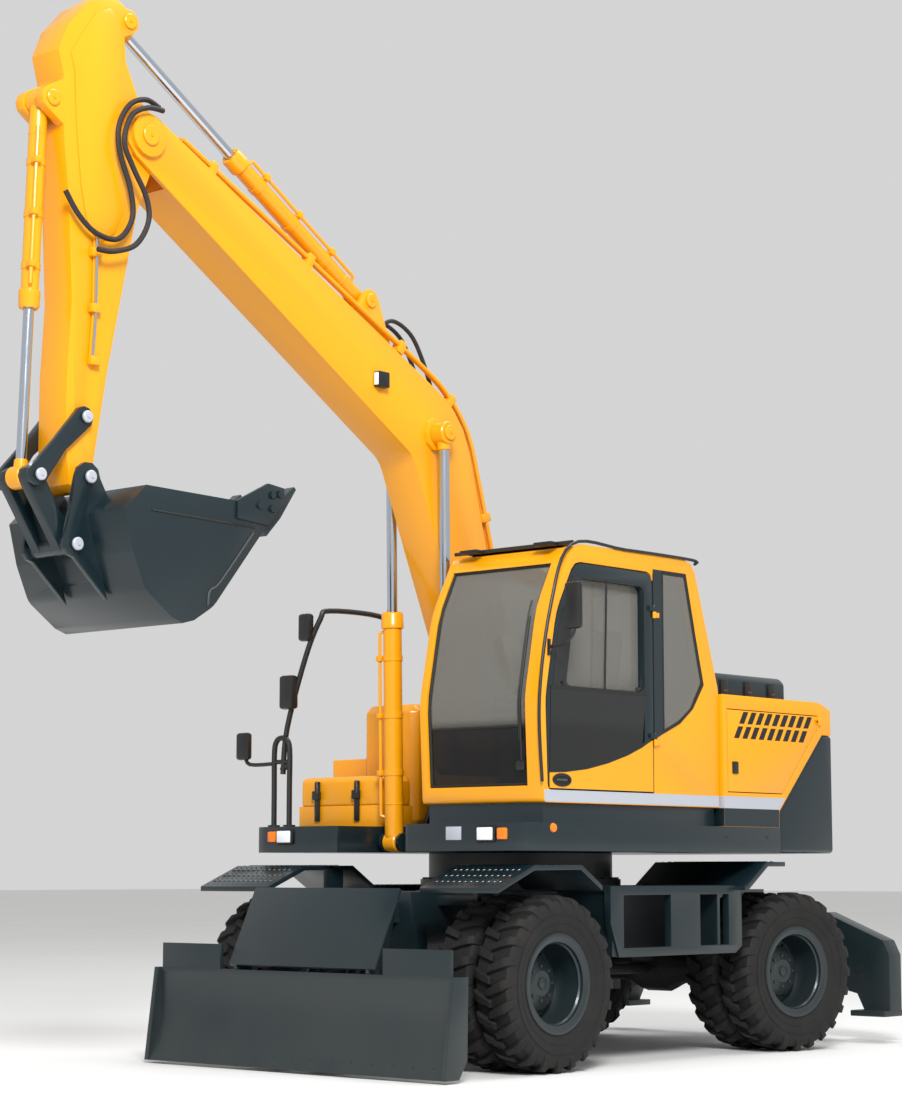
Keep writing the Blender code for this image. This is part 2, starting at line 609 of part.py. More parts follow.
# ---------------------------------------------------------------- stabilisers
leg = arc(STAB_PIN, 0.09, 110, 250, 5) + [(0.85, 0.36), (0.98, 0.33), (1.04, 0.21), (1.25, 0.21), (1.25, 0.60),
                                          (1.20, 0.70), (0.72, 0.89), (0.46, 0.83)]
for hand, side in (("left", 1), ("right", -1)):
    outline = leg if side > 0 else mirrored(leg)
    body = plate("y", outline, STAB_Y - STAB_THICK / 2, STAB_Y + STAB_THICK / 2)
    xs = sorted((side * 0.97, side * 1.25))
    pad = box((xs[0], STAB_Y - 0.15, 0.18), (xs[1], STAB_Y + 0.12, 0.22))
    made = joined("stabiliser_" + hand, [body, pad])
    seat(made, (side * STAB_PIN[0], STAB_Y, STAB_PIN[1]))

# ---------------------------------------------------------------- upper frame
deck_outline = filleted([(DECK_HALF, -1.60, 0.14), (0.24, -1.60, 0.05), (0.24, -0.98, 0.0), (-0.44, -0.98, 0.0),
                         (-0.44, -1.47, 0.05), (-DECK_HALF, -1.47, 0.14), (-DECK_HALF, DECK_REAR - GAP, 0.0),
                         (DECK_HALF, DECK_REAR - GAP, 0.0)])
deck = plate("z", deck_outline, DECK_BOTTOM, DECK_TOP)
foot_half = 0.065
bracket = [(-0.86, 1.44), (-0.62, 1.90)] + arc(BOOM_FOOT, 0.16, 150, 10, 4) + [(0.10, 1.62), (0.28, 1.44)]
shapes = []
for side in (1, -1):
    xs = sorted((BOOM_X + side * (BOOM_HALF + SIDE_GAP), BOOM_X + side * (BOOM_HALF + SIDE_GAP + 0.03)))
    shapes.append(plate("x", bracket, xs[0], xs[1]))
    boss = BOOM_X + side * (BOOM_HALF + SIDE_GAP + 0.02)
    shapes.append(rod("x", (min(boss, boss + side * 0.035), *BOOM_FOOT), 0.035, 0.075))
    centre = BOOM_X + side * BOOM_CYL_OFFSET
    for low, high in ((-foot_half - GAP - 0.02, -foot_half - GAP), (foot_half + GAP, foot_half + GAP + 0.02)):
        lug = [(-0.97, 1.44)] + arc(BOOM_CYL_FOOT, 0.06, 80, 270, 5) + [(-0.97, 1.30)]
        shapes.append(plate("x", lug, centre + low, centre + high))
skid = box((CAB_RIGHT + 0.03, -1.38, DECK_TOP - 0.01), (CAB_LEFT - 0.03, 0.34, CAB_BOTTOM - GAP))
seat(joined("upper_frame", [deck] + shapes + [skid]), (0, SLEW_Y, 0))

# ---------------------------------------------------------------- counterweight and hood
def tail_plan(half, front, grow=0.0):
    """Plan outline with straight sides and a rear that follows the tail swing circle."""
    radius = TAIL_RADIUS + grow
    edge = math.degrees(math.acos(half / radius))
    return [(-half, front), (half, front)] + arc((0, SLEW_Y), radius, edge, 180 - edge, 10)


CUT_LOW = (DECK_REAR, 1.565)
CUT_HIGH = (1.52, 2.09)
weight = plate("z", tail_plan(DECK_HALF, DECK_REAR), DECK_BOTTOM, CUT_HIGH[1])
above = [(CUT_LOW[0] - 0.3, CUT_LOW[1]), CUT_LOW, CUT_HIGH, (CUT_HIGH[0], CUT_HIGH[1] + 0.2),
         (CUT_LOW[0] - 0.3, CUT_HIGH[1] + 0.2)]
cut(weight, [plate("x", above, -2.0, 2.0)])
weight.name = "counterweight"
bevel(weight, 0.04, 60.0)
seat(weight)

hood = plate("z", tail_plan(DECK_HALF - 0.005, HOOD_FRONT), DECK_TOP + GAP, HOOD_TOP)
hood_side = filleted([(HOOD_FRONT - 0.1, 1.3, 0), (DECK_REAR - GAP, 1.3, 0), (CUT_LOW[0] - GAP, CUT_LOW[1] + GAP, 0),
                      (CUT_HIGH[0] - GAP, CUT_HIGH[1] + GAP, 0), (2.2, CUT_HIGH[1] + GAP, 0), (1.95, 2.13, 0),
                      (1.50, HOOD_TOP, 0.25), (HOOD_FRONT - 0.1, HOOD_TOP, 0)])
boolean(hood, [plate("x", hood_side, -2.0, 2.0)], "INTERSECT")
cavity = [(HOOD_FRONT + HOOD_WALL, 1.2), (DECK_REAR - 0.02, 1.2), (DECK_REAR - 0.02, CUT_LOW[1] + 0.03),
          (CUT_HIGH[0] - 0.06, CUT_HIGH[1] + 0.02), (CUT_HIGH[0] - 0.06, HOOD_TOP - HOOD_WALL),
          (HOOD_FRONT + HOOD_WALL, HOOD_TOP - HOOD_WALL)]
hollow = plate("x", cavity, -DECK_HALF + HOOD_WALL, DECK_HALF - HOOD_WALL)
COVER = ((-0.45, 0.50), (1.00, 1.45))
top_hole = box((COVER[0][0] + 0.07, COVER[0][1] + 0.07, HOOD_TOP - 0.2),
               (COVER[1][0] - 0.27, COVER[1][1] - 0.32, HOOD_TOP + 0.2))
DOOR_CLEAR = 0.006
door_shape = [(0.42, 1.68), (1.04, 1.68), (1.47, 2.13), (1.47, 2.22), (0.42, 2.22)]
openings = [hollow, top_hole]
for side in (1, -1):
    xs = sorted((side * (DECK_HALF - 0.2), side * (DECK_HALF + 0.2)))
    openings.append(plate("x", door_shape, xs[0], xs[1]))
cut(hood, openings)
hood.data.materials.clear()
hood.data.materials.append(YELLOW)
HINGE_X = DECK_HALF + 0.006
HINGE_Y = 1.475
hinges = []
for side in (1, -1):
    hinges.append(rod("z", (side * HINGE_X, HINGE_Y, 2.155), 0.03, 0.01, 8))
    xs = sorted((side * (DECK_HALF - 0.015), side * (DECK_HALF + 0.01)))
    hinges.append(box((xs[0], HINGE_Y + 0.003, 2.157), (xs[1], HINGE_Y + 0.02, 2.183)))
joined("hood", [hood] + hinges, YELLOW)
seat(hood)

for hand, side in (("left", 1), ("right", -1)):
    c = DOOR_CLEAR
    panel_shape = [(0.42 + c, 1.68 + c), (1.04 - 0.4 * c, 1.68 + c), (1.47 - c, 2.13 + 0.4 * c), (1.47 - c, 2.22 - c),
                   (0.42 + c, 2.22 - c)]
    xs = sorted((side * (DECK_HALF - 0.045), side * (DECK_HALF - 0.005)))
    panel = plate("x", panel_shape, xs[0], xs[1], YELLOW)
    knuckle = rod("z", (side * HINGE_X, HINGE_Y, 2.185 + GAP), 0.025, 0.01, 8)
    xs = sorted((side * (DECK_HALF - 0.02), side * (DECK_HALF + 0.006)))
    root = box((xs[0], 1.43, 2.187), (xs[1], 1.46, 2.208))
    xs = sorted((side * (DECK_HALF - 0.004), side * (DECK_HALF + 0.01)))
    leaf = box((xs[0], 1.45, 2.187), (xs[1], HINGE_Y, 2.208))
    made = joined("side_door_" + hand, [panel, root, leaf, knuckle])
    seat(made, (side * HINGE_X, HINGE_Y, 2.19))

cover = box((COVER[0][0], COVER[0][1], HOOD_TOP - 0.1), (COVER[1][0], COVER[1][1], HOOD_TOP + 0.17))
bevel(cover, 0.04)
cover = as_mesh(cover, GREEN, "engine_cover")
cut(cover, [box((COVER[0][0] - 0.1, COVER[0][1] - 0.1, HOOD_TOP - 0.3), (COVER[1][0] + 0.1, COVER[1][1] + 0.1, HOOD_TOP + GAP)),
            box((COVER[0][0] + 0.04, COVER[0][1] + 0.04, HOOD_TOP - 0.1),
                (COVER[1][0] - 0.04, COVER[1][1] - 0.04, HOOD_TOP + 0.13))])
seat(cover, (0, COVER[0][1], HOOD_TOP + 0.005))

engine = box((-0.50, 0.48, DECK_TOP + GAP), (0.42, 0.95, 2.08), IRON, "engine")
seat(engine)

# ---------------------------------------------------------------- tank, tool box and rails on the right
RIGHT_INNER = -0.45
tank = box((-0.93, -0.74, DECK_TOP + GAP), (RIGHT_INNER, 0.34, 2.27), YELLOW)
battery = box((-1.215, -0.72, DECK_TOP + GAP), (-0.90, 0.34, 1.92), YELLOW)
bevel(tank, 0.05)
tank = as_mesh(tank, YELLOW)
seat(joined("fuel_tank", [tank, battery]))

TOOL_LOW = (-1.20, -1.05, DECK_TOP + GAP)
TOOL_HIGH = (RIGHT_INNER, -0.755, 1.60)
tool_box = box(TOOL_LOW, TOOL_HIGH, YELLOW, "tool_box")
cut(tool_box, [box((TOOL_LOW[0] + 0.02, TOOL_LOW[1] + 0.02, 1.49), (TOOL_HIGH[0] - 0.02, TOOL_HIGH[1] - 0.02, 1.9))])
seat(tool_box)
lid = box((TOOL_LOW[0], TOOL_LOW[1], TOOL_HIGH[2] - 0.1), (TOOL_HIGH[0], TOOL_HIGH[1], 1.79), YELLOW)
bevel(lid, 0.03)
lid = as_mesh(lid, YELLOW, "tool_box_lid")
cut(lid, [box((TOOL_LOW[0] - 0.1, TOOL_LOW[1] - 0.1, 1.4), (TOOL_HIGH[0] + 0.1, TOOL_HIGH[1] + 0.1, TOOL_HIGH[2] + GAP)),
          box((TOOL_LOW[0] + 0.03, TOOL_LOW[1] + 0.03, 1.5), (TOOL_HIGH[0] - 0.03, TOOL_HIGH[1] - 0.03, 1.76))])
seat(lid, (0, TOOL_HIGH[1], 1.79))

RAIL = 0.018
rail_y = -1.40
first = tube([(-1.08, rail_y, DECK_TOP + GAP), (-1.08, rail_y, 1.98), (-1.055, rail_y, 2.03), (-0.965, rail_y, 2.03),
              (-0.94, rail_y, 1.98), (-0.94, rail_y, DECK_TOP + GAP)], RAIL)
middle = tube([(-1.09, rail_y, 1.88), (-0.93, rail_y, 1.88)], RAIL * 0.9)
stalk = tube([(-1.08, rail_y, 1.87), (-1.29, rail_y - 0.02, 1.87), (-1.33, rail_y - 0.02, 1.93)], 0.013)
mirror_low = box((-1.40, rail_y - 0.05, 1.90), (-1.28, rail_y - 0.005, 2.08), BLACK)
pole = tube([(-1.0, rail_y, 1.80), (-0.98, -1.385, 2.10), (-0.86, -1.34, 2.56), (-0.77, -1.30, 2.80),
             (-0.76, -1.22, 2.865), (-0.82, -0.70, 2.875), (-0.85, -0.50, 2.80), (-0.87, -0.46, 2.55),
             (-0.87, -0.46, 2.26)], RAIL)
foot = tube([(-0.94, rail_y, 1.86), (-1.01, rail_y, 1.83)], RAIL)
mirror_high = box((-1.02, -1.43, 2.22), (-0.90, -1.36, 2.44), BLACK)
mirror_top = box((-0.90, -1.38, 2.66), (-0.80, -1.32, 2.84), BLACK)
rails = joined("right_handrail", [first, middle, stalk, mirror_low, pole, foot, mirror_high, mirror_top])
cut(rails, [box((-1.0, -0.6, 2.0), (-0.7, -0.3, 2.27 + GAP))])
seat(rails)

# ---------------------------------------------------------------- cab
cab_outline = filleted([(-1.41, CAB_BOTTOM, 0.03), (0.36, CAB_BOTTOM, 0), (0.36, 2.34, 0.1), (0.10, CAB_TOP, 0.12),
                        (-1.12, CAB_TOP, 0.14), (-1.33, 2.75, 0.6), (-1.44, 2.2, 0.6)], 2)
cab = plate("x", cab_outline, CAB_RIGHT, CAB_LEFT, YELLOW)
w = CAB_WALL
inner_outline = filleted([(-1.41 + w, CAB_BOTTOM + w, 0.0), (0.36 - w, CAB_BOTTOM + w, 0), (0.36 - w, 2.33, 0.05),
                          (0.10 - w, CAB_TOP - w, 0.06), (-1.12 + w / 2, CAB_TOP - w, 0.08), (-1.33 + w, 2.75, 0.5),
                          (-1.44 + w, 2.2, 0.5)], 2)
interior = plate("x", inner_outline, CAB_RIGHT + w, CAB_LEFT - w)
DOOR_REAR = -0.325
DOOR_BOTTOM = 1.655
DOOR_TOP = 3.04


def door_outline(c):
    """The door's outline, c smaller all round than its opening."""
    return filleted([(-1.37 + c, DOOR_BOTTOM + c, 0.03), (DOOR_REAR - c, DOOR_BOTTOM + c, 0.0),
                     (DOOR_REAR - c, DOOR_TOP - c, 0.06), (-1.11 + c, DOOR_TOP - c, 0.1), (-1.285 + c, 2.72, 0.5),
                     (-1.39 + c, 2.2, 0.5)], 2)


doorway = plate("x", door_outline(0.0), CAB_LEFT - 0.2, CAB_LEFT + 0.2)
quarter_window = filleted([(-0.25, 2.02, 0.05), (0.02, 2.16, 0.1), (0.19, 2.36, 0.1), (0.0, 3.02, 0.08),
                           (-0.25, 3.04, 0.04)], 2)
quarter_cut = plate("x", quarter_window, CAB_LEFT - 0.2, CAB_LEFT + 0.2)
right_window = filleted([(-1.33, 1.80, 0.05), (0.20, 1.80, 0.1), (0.20, 2.36, 0.1), (0.0, 3.02, 0.08),
                         (-1.10, 3.02, 0.1), (-1.22, 2.74, 0.4), (-1.35, 2.2, 0.4)], 2)
right_cut = plate("x", right_window, CAB_RIGHT - 0.2, CAB_RIGHT + 0.2)
WINDSCREEN_X = (CAB_RIGHT + 0.05, 1.08)
screen_cut = box((WINDSCREEN_X[0], -2.0, 1.68), (WINDSCREEN_X[1], -1.0, 3.03))
rear_cut = box((CAB_RIGHT + 0.1, -0.02, 2.42), (CAB_LEFT - 0.12, 0.9, 2.98))
cut(cab, [interior, doorway, quarter_cut, right_cut, screen_cut, rear_cut])
DOOR_HINGE = (CAB_LEFT + 0.0125, DOOR_REAR - 0.0035)
hinge_parts = []
for z in (1.95, 2.75):
    hinge_parts.append(rod("z", (*DOOR_HINGE, z), 0.04, 0.012, 8))
    hinge_parts.append(box((CAB_LEFT - 0.01, DOOR_HINGE[1], z + 0.004),
                           (CAB_LEFT + 0.015, DOOR_HINGE[1] + 0.05, z + 0.036)))
cab = joined("cab_shell", [cab] + hinge_parts, YELLOW)
seat(cab)

door = plate("x", door_outline(0.007), CAB_LEFT - 0.05, CAB_LEFT, GREEN)
upper_light = filleted([(-1.20, 2.28, 0.04), (-0.42, 2.28, 0.04), (-0.42, 2.94, 0.04), (-1.08, 2.94, 0.08)], 2)
lower_light = filleted([(-1.33, 1.80, 0.03), (-0.42, 1.96, 0.03), (-0.42, 2.22, 0.02), (-1.33, 2.22, 0.02)], 2)
cut(door, [plate("x", upper_light, 0.8, 1.5), plate("x", lower_light, 0.8, 1.5)])
knuckles = []
for z in (1.99, 2.79):
    knuckles.append(rod("z", (*DOOR_HINGE, z + GAP), 0.04, 0.012, 8))
    knuckles.append(box((CAB_LEFT - 0.01, DOOR_HINGE[1] - 0.05, z + 0.004),
                        (CAB_LEFT + 0.015, DOOR_HINGE[1], z + 0.036)))
door = joined("cab_door", [door] + knuckles)
seat(door, (*DOOR_HINGE, 2.3))
glass = plate("x", filleted([(-1.335, 1.76, 0.0), (-0.38, 1.92, 0.0), (-0.38, 2.97, 0.04), (-1.10, 2.97, 0.08),
                             (-1.26, 2.7, 0.3), (-1.345, 2.25, 0.3)], 2),
              CAB_LEFT - 0.05 - GAP - 0.006, CAB_LEFT - 0.05 - GAP, GLASS, "door_glass")
seat(glass, (*DOOR_HINGE, 2.3))
seat(plate("x", filleted([(-0.28, 1.99, 0.05), (0.04, 2.12, 0.1), (0.225, 2.35, 0.1), (0.02, 3.05, 0.08),
                          (-0.28, 3.07, 0.04)], 2),
           CAB_LEFT - w - GAP - 0.006, CAB_LEFT - w - GAP, GLASS, "quarter_glass"))
seat(plate("x", filleted([(-1.345, 1.77, 0.03), (0.23, 1.77, 0.05), (0.23, 2.35, 0.1), (0.02, 3.05, 0.08),
                          (-1.09, 3.05, 0.1), (-1.24, 2.74, 0.4), (-1.365, 2.2, 0.4)], 2),
           CAB_RIGHT + w + GAP, CAB_RIGHT + w + GAP + 0.006, GLASS, "right_glass"))

screen_line = [(-1.383, 1.68 + GAP, 0.0), (-1.411, 2.2, 0.6), (-1.303, 2.75, 0.6), (-1.158, 3.03 - GAP, 0.0)]
screen = filleted(screen_line, 3)[:-1] + [(-1.158, 3.03 - GAP)]
screen += [(y + 0.006, z) for y, z in reversed(screen)]
seat(plate("x", screen, WINDSCREEN_X[0] + GAP, WINDSCREEN_X[1] - GAP, GLASS, "windscreen"))
seat(plate("x", [(0.309, 2.42 + GAP), (0.316, 2.42 + GAP), (0.137, 2.98 - GAP), (0.130, 2.98 - GAP)],
           CAB_RIGHT + 0.1 + GAP, CAB_LEFT - 0.12 - GAP, GLASS, "rear_glass"))

FLOOR = CAB_BOTTOM + CAB_WALL
SEAT_X = (CAB_LEFT + CAB_RIGHT) / 2
mat = box((CAB_RIGHT + 0.10, -1.22, FLOOR + GAP), (CAB_LEFT - 0.10, -0.10, FLOOR + 0.015), BLACK)
column = plate("x", [(-1.20, FLOOR + 0.01), (-1.13, 2.20), (-1.09, 2.20), (-1.06, FLOOR + 0.01)],
               SEAT_X - 0.05, SEAT_X + 0.05, BLACK)
hand_wheel = turned("z", (0, 0, 0), [(0.0, 0.185), (0.02, 0.175), (0.0, 0.165), (-0.02, 0.175)], 20, BLACK, closed=True)
hub = rod("z", (0, 0, -0.04), 0.05, 0.04, 12)
spokes = [box((-0.178, -0.012, -0.008), (0.178, 0.012, 0.008)), box((-0.012, -0.178, -0.008), (0.012, 0.178, 0.008))]
hand_wheel = joined("piece", [hand_wheel, hub] + spokes)
hand_wheel.data.transform(Matrix.Translation((SEAT_X, -1.09, 2.23)) @ Matrix.Rotation(math.radians(25), 4, "X"))
consoles = []
for side in (1, -1):
    xs = sorted((SEAT_X + side * 0.27, SEAT_X + side * 0.35))
    consoles.append(plate("x", [(-0.80, FLOOR + 0.01), (-0.86, 2.12), (-0.86, 2.17), (-0.40, 2.17), (-0.40, FLOOR + 0.01)],
                          xs[0], xs[1], BLACK))
    consoles.append(rod("z", (SEAT_X + side * 0.31, -0.80, 2.16), 0.16, 0.018, 8, end_radius=0.026))
seat(joined("console", [mat, column, hand_wheel] + consoles))
cushion = box((SEAT_X - 0.24, -0.84, 1.98), (SEAT_X + 0.24, -0.33, 2.12), CLOTH)
back = plate("x", filleted([(-0.44, 2.06, 0.03), (-0.32, 2.06, 0.03), (-0.17, 2.72, 0.05), (-0.27, 2.74, 0.05)], 2),
             SEAT_X - 0.23, SEAT_X + 0.23)
pedestal = box((SEAT_X - 0.15, -0.72, FLOOR + 0.015 + GAP), (SEAT_X + 0.15, -0.38, 2.0))
seat(joined("driver_seat", [cushion, back, pedestal]))

mirror_foot = box((CAB_LEFT + GAP, -1.372, 2.45), (CAB_LEFT + 0.012, -1.35, 2.55), BLACK)
mirror_arm = tube([(CAB_LEFT + 0.008, -1.361, 2.50), (CAB_LEFT + 0.13, -1.361, 2.52), (CAB_LEFT + 0.19, -1.35, 2.58),
                   (CAB_LEFT + 0.19, -1.345, 2.64)], 0.011)
mirror_head = box((CAB_LEFT + 0.125, -1.37, 2.60), (CAB_LEFT + 0.245, -1.325, 2.88), BLACK)
bevel(mirror_head, 0.015, segments=1)
mirror_head = as_mesh(mirror_head, BLACK)
seat(joined("left_mirror", [mirror_head, mirror_arm, mirror_foot]))

# ---------------------------------------------------------------- boom
lower = [(-3.57, 5.205), (-1.30, 3.79), (-0.49, 1.93)]
upper = [(-0.23, 1.95), (-0.825, 4.118), (-3.40, 5.405)]


def bend(before, corner, after, radius, steps=3):
    """The arc that rounds a corner between its two neighbours."""
    ring = filleted([(*before, 0.0), (*corner, radius), (*after, 0.0)], steps)
    return ring[1:-1]


boom_outline = (arc(BOOM_NOSE, 0.15, 62, 238, 5) + bend(lower[0], lower[1], lower[2], 0.2)
                + arc(BOOM_FOOT, 0.13, 190, 372, 5) + bend(upper[0], upper[1], upper[2], 0.55))
boom = plate("x", boom_outline, BOOM_X - BOOM_HALF, BOOM_X + BOOM_HALF, YELLOW)
slot = rod("x", (BOOM_X - ARM_HALF - GAP, *BOOM_NOSE), 2 * (ARM_HALF + GAP), 0.32, 20)
cut(boom, [slot])
shapes = []
for side in (1, -1):
    start = BOOM_X + side * (ARM_HALF + 0.01)
    end = BOOM_X + side * (BOOM_HALF + 0.03)
    shapes.append(rod("x", (min(start, end), *BOOM_NOSE), abs(end - start), 0.125, 16))
    start = BOOM_X + side * (0.065 + GAP)
    end = BOOM_X + side * (0.065 + GAP + 0.03)
    lug = [(-1.86, 4.52)] + arc(ARM_CYL_FOOT, 0.075, 150, 20, 4) + [(-1.38, 4.30)]
    shapes.append(plate("x", lug, min(start, end), max(start, end)))
cross = BOOM_CYL_OFFSET - 0.05 - GAP
shapes.append(rod("x", (BOOM_X - cross, *BOOM_CYL_EYE), 2 * cross, 0.11))
shapes.append(rod("x", (BOOM_X - BOOM_HALF - SIDE_GAP + GAP, *BOOM_FOOT), 2 * (BOOM_HALF + SIDE_GAP - GAP), 0.11))
boom = joined("boom", [boom] + shapes)
seat(boom, joint_point(BOOM_FOOT, BOOM_X))

for hand, side in (("left", 1), ("right", -1)):
    x = BOOM_X + side * BOOM_CYL_OFFSET
    made = barrel(BOOM_CYL_FOOT, BOOM_CYL_EYE, x, 1.47, 0.06, 0.034, foot_half, 0.062)
    made.name = "boom_barrel_" + hand
    seat(made, joint_point(BOOM_CYL_FOOT, x))
    made = piston_rod(BOOM_CYL_FOOT, BOOM_CYL_EYE, x, 1.48, 0.034, 0.05, 0.075)
    made.name = "boom_rod_" + hand
    seat(made, joint_point(BOOM_CYL_EYE, x))

made = barrel(ARM_CYL_FOOT, ARM_CYL_EYE, BOOM_X, 1.34, 0.055, 0.033, 0.065, 0.065)
made.name = "arm_barrel"
seat(made, joint_point(ARM_CYL_FOOT, BOOM_X))
made = piston_rod(ARM_CYL_FOOT, ARM_CYL_EYE, BOOM_X, 1.38, 0.033, 0.05, 0.07)
made.name = "arm_rod"
seat(made, joint_point(ARM_CYL_EYE, BOOM_X))

# ---------------------------------------------------------------- arm
arm_front = [(-3.84, 6.17), (-4.00, 6.06), (-4.14, 5.90), (-4.205, 5.74), (-4.165, 5.60), (-4.155, 5.25),
             (-4.11, 4.90), (-4.075, 4.32), (-4.10, 3.90), (-4.10, 3.50)]
arm_rear = [(-3.905, 3.40), (-3.813, 3.945), (-3.724, 4.385), (-3.61, 4.92)]
arm_outline = (arm_front + arc(BUCKET_PIN, 0.085, 170, 360, 5) + arm_rear + arc(BOOM_NOSE, 0.145, -50, 55, 3)
               + [(-3.62, 5.60), (-3.71, 5.78), (-3.725, 5.93)] + arc(ARM_CYL_EYE, 0.075, -60, 110, 4))
arm = plate("x", arm_outline, BOOM_X - ARM_HALF, BOOM_X + ARM_HALF, YELLOW)
ROD_EYE_HALF = 0.05
rod_slot = rod("x", (BOOM_X - ROD_EYE_HALF - GAP, ARM_CYL_EYE[0] - 0.03, ARM_CYL_EYE[1]), 2 * (ROD_EYE_HALF + GAP),
               0.22, 16)
idler_hole = rod("x", (BOOM_X - 0.3, *IDLER_PIN), 0.6, 0.0375, 16)
cut(arm, [rod_slot, idler_hole])
shapes = [rod("x", (BOOM_X - 0.16 + GAP, *BUCKET_PIN), 0.32 - 2 * GAP, 0.05)]
for side in (1, -1):
    start = BOOM_X + side * (0.055 + GAP)
    end = BOOM_X + side * ARM_HALF
    ear = [(-4.08, 5.62)] + arc(BUCKET_CYL_TOP, 0.075, 110, 250, 4) + [(-4.10, 5.28)]
    shapes.append(plate("x", ear, min(start, end), max(start, end)))
arm = joined("arm", [arm] + shapes)
seat(arm, joint_point(BOOM_NOSE, BOOM_X))

made = barrel(BUCKET_CYL_TOP, LINK_PIN, BOOM_X, 1.19, 0.05, 0.03, 0.055, 0.06)
made.name = "bucket_barrel"
seat(made, joint_point(BUCKET_CYL_TOP, BOOM_X))
made = piston_rod(BUCKET_CYL_TOP, LINK_PIN, BOOM_X, 1.22, 0.03, 0.055, 0.065)
made.name = "bucket_rod"
seat(made, joint_point(LINK_PIN, BOOM_X))

# ---------------------------------------------------------------- hoses from boom to arm
def smooth(points, steps):
    """Points on a smooth curve through the given ones (Catmull-Rom)."""
    path = []
    ends = [points[0]] + list(points) + [points[-1]]
    for i in range(1, len(ends) - 2):
        a, b, c, d = (Vector(p) for p in ends[i - 1:i + 3])
        for k in range(steps):
            t = k / steps
            path.append(tuple(0.5 * ((2 * b) + (c - a) * t + (2 * a - 5 * b + 4 * c - d) * t ** 2
                                     + (3 * b - 3 * c + d - a) * t ** 3)))
    path.append(tuple(points[-1]))
    return path


HOSE_RADIUS = 0.016
HOSE_X = (BOOM_X + BOOM_HALF + 0.022, BOOM_X + BOOM_HALF + 0.058)
first = [(-3.50, 5.55), (-3.60, 5.575), (-3.72, 5.52), (-3.80, 5.38), (-3.79, 5.22), (-3.71, 5.03), (-3.69, 4.86),
         (-3.79, 4.72), (-3.95, 4.72), (-4.08, 4.80), (-4.21, 4.94), (-4.30, 5.02)]
second = [(-3.50, 5.525), (-3.62, 5.515), (-3.74, 5.44), (-3.79, 5.28), (-3.72, 5.14), (-3.62, 4.99), (-3.60, 4.85),
          (-3.69, 4.70), (-3.85, 4.63), (-4.00, 4.62)]
hoses = [tube(smooth([(HOSE_X[0], *p) for p in first], 2), HOSE_RADIUS, HOSE),
         tube(smooth([(HOSE_X[1], *p) for p in second], 2), HOSE_RADIUS, HOSE)]
clamp = box((BOOM_X + BOOM_HALF + GAP, -3.56, 5.503), (HOSE_X[1] + 0.02, -3.52, 5.60), HOSE)
seat(joined("arm_hoses", hoses + [clamp]), joint_point(BOOM_NOSE, BOOM_X))

# ---------------------------------------------------------------- bucket linkage
idler_in = ARM_HALF + GAP
idler_out = idler_in + IDLER_THICK
idler_shape = (arc(IDLER_PIN, 0.062, -40, 130, 5) + [(-4.195, 3.53)] + arc(LINK_PIN, 0.062, 150, 320, 5)
               + [(-4.130, 3.468)])
shapes = []
for side in (1, -1):
    xs = sorted((BOOM_X + side * idler_in, BOOM_X + side * idler_out))
    shapes.append(plate("x", idler_shape, xs[0], xs[1]))
    head = BOOM_X + side * (idler_out - 0.005)
    for pin in (IDLER_PIN, LINK_PIN):
        shapes.append(rod("x", (min(head, head + side * 0.02), *pin), 0.02, 0.035, 12))
shapes.append(rod("x", (BOOM_X - idler_in - 0.01, *IDLER_PIN), 2 * (idler_in + 0.01), 0.035, 16))
idlers = joined("idler_links", shapes)
seat(idlers, joint_point(IDLER_PIN, BOOM_X))

link_shape = (arc(LINK_PIN, 0.062, 40, 220, 5)
              + arc(EAR_PIN, 0.055, 220, 400, 5))
shapes = []
for side in (1, -1):
    xs = sorted((BOOM_X + side * (0.055 + GAP), BOOM_X + side * ARM_HALF))
    shapes.append(plate("x", link_shape, xs[0], xs[1]))
shapes.append(rod("x", (BOOM_X - 0.16 + GAP, *EAR_PIN), 0.32 - 2 * GAP, 0.055))
web = [(-4.20, 3.20), (-4.16, 3.22), (-4.06, 3.00), (-4.12, 2.98)]
shapes.append(plate("x", web, BOOM_X - 0.10, BOOM_X + 0.10))
seat(joined("push_link", shapes), joint_point(LINK_PIN, BOOM_X))

# ---------------------------------------------------------------- bucket
SKIN = 0.025
shell_outline = filleted([(-3.84, 3.275, 0.0), (-3.99, 3.13, 0.0), (-3.93, 2.90, 0.1), (-3.84, 2.70, 0.1),
                          (-3.56, 2.505, 0.15), (-3.33, 2.645, 0.2), (-2.83, 3.255, 0.0)], 2)
inner_shell = filleted([(-3.84 + 0.036, 3.275 - 0.0, 0.0), (-3.958, 3.125, 0.0), (-3.905, 2.91, 0.08),
                        (-3.82, 2.718, 0.08), (-3.562, 2.536, 0.13), (-3.348, 2.664, 0.18), (-2.852, 3.268, 0.0)], 2)
bucket = plate("x", shell_outline, BOOM_X - BUCKET_HALF, BOOM_X + BUCKET_HALF)
scoop = plate("x", inner_shell + [(-2.86, 3.6), (-3.8, 3.6)], BOOM_X - BUCKET_HALF + SKIN, BOOM_X + BUCKET_HALF - SKIN)
cut(bucket, [scoop])
ear_in = 0.16
ear_out = ear_in + EAR_THICK
ear_shape = (arc(BUCKET_PIN, 0.085, 0, 180, 5) + arc(EAR_PIN, 0.075, 170, 270, 3)
             + [(-3.84, 2.66), (-3.86, 2.72), (-3.96, 3.10), (-3.84, 3.22)])
shapes = []
for side in (1, -1):
    xs = sorted((BOOM_X + side * ear_in, BOOM_X + side * ear_out))
    shapes.append(plate("x", ear_shape, xs[0], xs[1]))
    head = BOOM_X + side * (ear_out - 0.012)
    for pin in (BUCKET_PIN, EAR_PIN):
        shapes.append(rod("x", (min(head, head + side * 0.03), *pin), 0.03, 0.037, 10))
